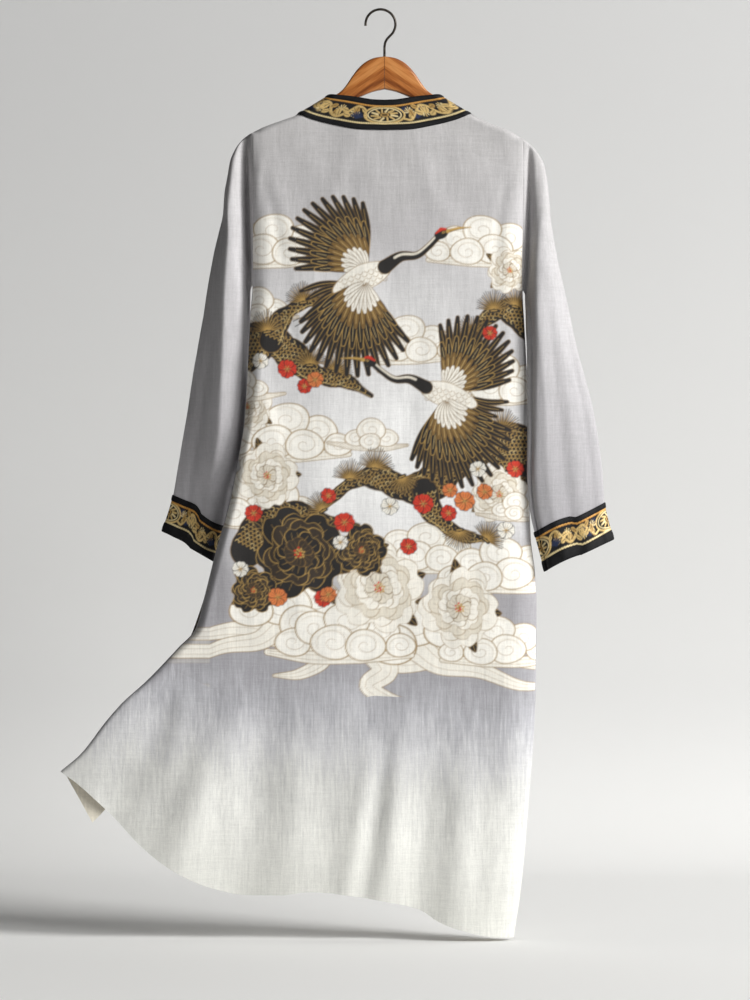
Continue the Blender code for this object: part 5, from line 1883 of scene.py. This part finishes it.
def make_sleeves():
    weave = draw_weave()
    near = np.linspace(0.0, SLEEVE_NEAR, SLEEVE_NEAR_ROWS)[:-1]
    stations = np.concatenate([near, np.linspace(SLEEVE_NEAR, SLEEVE_LENGTH + LAP, SLEEVE_ROWS)])
    for side, outward, *form in (
        ("left", -1, LEFT_SLEEVE, LEFT_SLEEVE_FOLDS, LEFT_FORM, LEFT_VALLEY, LEFT_CUFF_SLIP),
        ("right", 1, RIGHT_SLEEVE, RIGHT_SLEEVE_FOLDS, RIGHT_FORM, RIGHT_VALLEY, RIGHT_CUFF_SLIP),
    ):
        def grid(stations, count, proud=0.0, form=form):
            return sleeve_grid(*form, stations, count, proud)

        points, uv = grid(stations, SLEEVE_COLUMNS)
        flat = [form[0], [], *form[2:]]
        tucked, tucked_uv = grid([0.0], SLEEVE_COLUMNS, -TUCK_INSET, flat)
        tucked[..., 0] += outward * -TUCK * MM
        points, uv = np.concatenate([tucked, points]), np.concatenate([tucked_uv, uv])
        name, on = f"sleeve_{side}_cloth", [f"back_{side}_cloth", f"front_{side}_cloth"]
        obj = cloth(name, points, outward, linen, uv, "linen", closed=True, lining=linen_inside_painted_light)
        declare(obj, points, [f"sleeve_{side}"], on, closed=True)
        make_cuff(side, outward, weave, grid)


def make_collar():
    rulings = collar_rulings(*COLLAR_PITCH)
    edge, lap = EDGE_BINDING, EDGE_BINDING - LAP

    def band_lift(t):
        return np.full_like(t, BAND_PROUD)

    def binding_lift(t):
        return BINDING_PROUD + BINDING_ROUND * half_round(t)

    made = []
    for name, first, last, proud, mat, slot, thick in (
        ("collar_edge_neck", 0.0, edge, binding_lift, binding, "binding", BINDING_THICK),
        ("collar_band", lap, -lap, band_lift, brocade, "brocade", CLOTH),
        ("collar_edge_body", -edge, 0.0, binding_lift, binding, "binding", BINDING_THICK),
    ):
        points, uv = collar_grid(rulings, first, last, COLLAR_COLUMNS, proud)
        made.append((cloth(f"{name}_cloth", points, 1, mat, uv, slot, thick), points))
        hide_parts(name)
    fine = collar_rulings(*COLLAR_WEAVE_PITCH)
    points, uv = collar_grid(fine, lap, -lap, COLLAR_WEAVE_COLUMNS, band_lift)
    width = uv[..., 1].max(axis=1, keepdims=True) - LAP
    down = (uv[..., 1] - edge) / (width - edge) * WEAVE_WIDTH
    around = (uv[..., 0] - uv[len(uv) // 2, 0, 0]) % WEAVE_REPEAT
    paint = draw_weave().at(around, np.clip(down, 0.0, WEAVE_WIDTH))
    face = skin("collar_band_weave", points, 1, brocade, uv, "brocade", paint, WEAVE_LIFT)
    on = ["hanger_left_arm", "hanger_right_arm"]
    declare(*made[1], [], on, with_pieces=[made[0][0], made[2][0], face])


def make_hanger():
    for side, sign in (("left", -1.0), ("right", 1.0)):
        obj = hanger_half(f"hanger_{side}_arm", sign, wood)
        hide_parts(f"hanger_{side}")
    make_hook(steel)


def make_stage():
    """Plain floor that sweeps up into a wall."""
    turn = np.radians(np.linspace(0.0, 90.0, SWEEP_STEPS + 1))
    y = WALL_Y - SWEEP + SWEEP * np.sin(turn)
    z = FLOOR_Z + SWEEP * (1.0 - np.cos(turn))
    profile = [(STAGE_FRONT, FLOOR_Z), *zip(y.tolist(), z.tolist()), (WALL_Y, WALL_TOP)]
    verts = [(x, y, z) for x in (-STAGE_HALF, STAGE_HALF) for y, z in profile]
    n = len(profile)
    faces = [(i, n + i, n + i + 1, i + 1) for i in range(n - 1)]
    mesh = bpy.data.meshes.new("sweep")
    mesh.from_pydata(verts, [], faces)
    mesh.shade_smooth()
    mesh.materials.append(paper_material())
    obj = linked("sweep", mesh)


def make_light(name, place, target, width, height, power, colour):
    light = bpy.data.lights.new(name, "AREA")
    light.shape = "RECTANGLE"
    light.size = width
    light.size_y = height
    light.energy = power
    light.color = colour
    obj = linked(name, light)
    obj.location = place
    obj.rotation_euler = (Vector(target) - Vector(place)).to_track_quat("-Z", "Y").to_euler()


def make_camera():
    data = bpy.data.cameras.new("camera")
    data.lens = LENS
    data.sensor_width = 36.0
    obj = linked("camera", data)
    obj.location = CAMERA_PLACE
    obj.rotation_euler = (math.radians(90.0), 0.0, 0.0)
    bpy.context.scene.camera = obj


def make_world():
    """Dim white room that the camera sees as pale."""
    world_data = bpy.data.worlds.new("room")
    world_data.use_nodes = True
    tree = world_data.node_tree
    lit = tree.nodes["Background"]
    plug(tree, (*WHITE, 1.0), lit.inputs["Color"])
    plug(tree, ROOM_LIGHT, lit.inputs["Strength"])
    seen = node(tree, "ShaderNodeBackground", {0: (*WHITE, 1.0), 1: ROOM_SEEN})
    direct = node(tree, "ShaderNodeLightPath").outputs["Is Camera Ray"]
    both = node(tree, "ShaderNodeMixShader", {0: direct, 1: lit.outputs[0], 2: seen.outputs[0]})
    plug(tree, both.outputs[0], tree.nodes["World Output"].inputs["Surface"])
    bpy.context.scene.world = world_data


bpy.context.scene.view_settings.view_transform = "Standard"
make_camera()
make_world()
make_stage()
for spec in LIGHTS:
    make_light(*spec)
make_hanger()
make_panels()
make_sleeves()
make_collar()
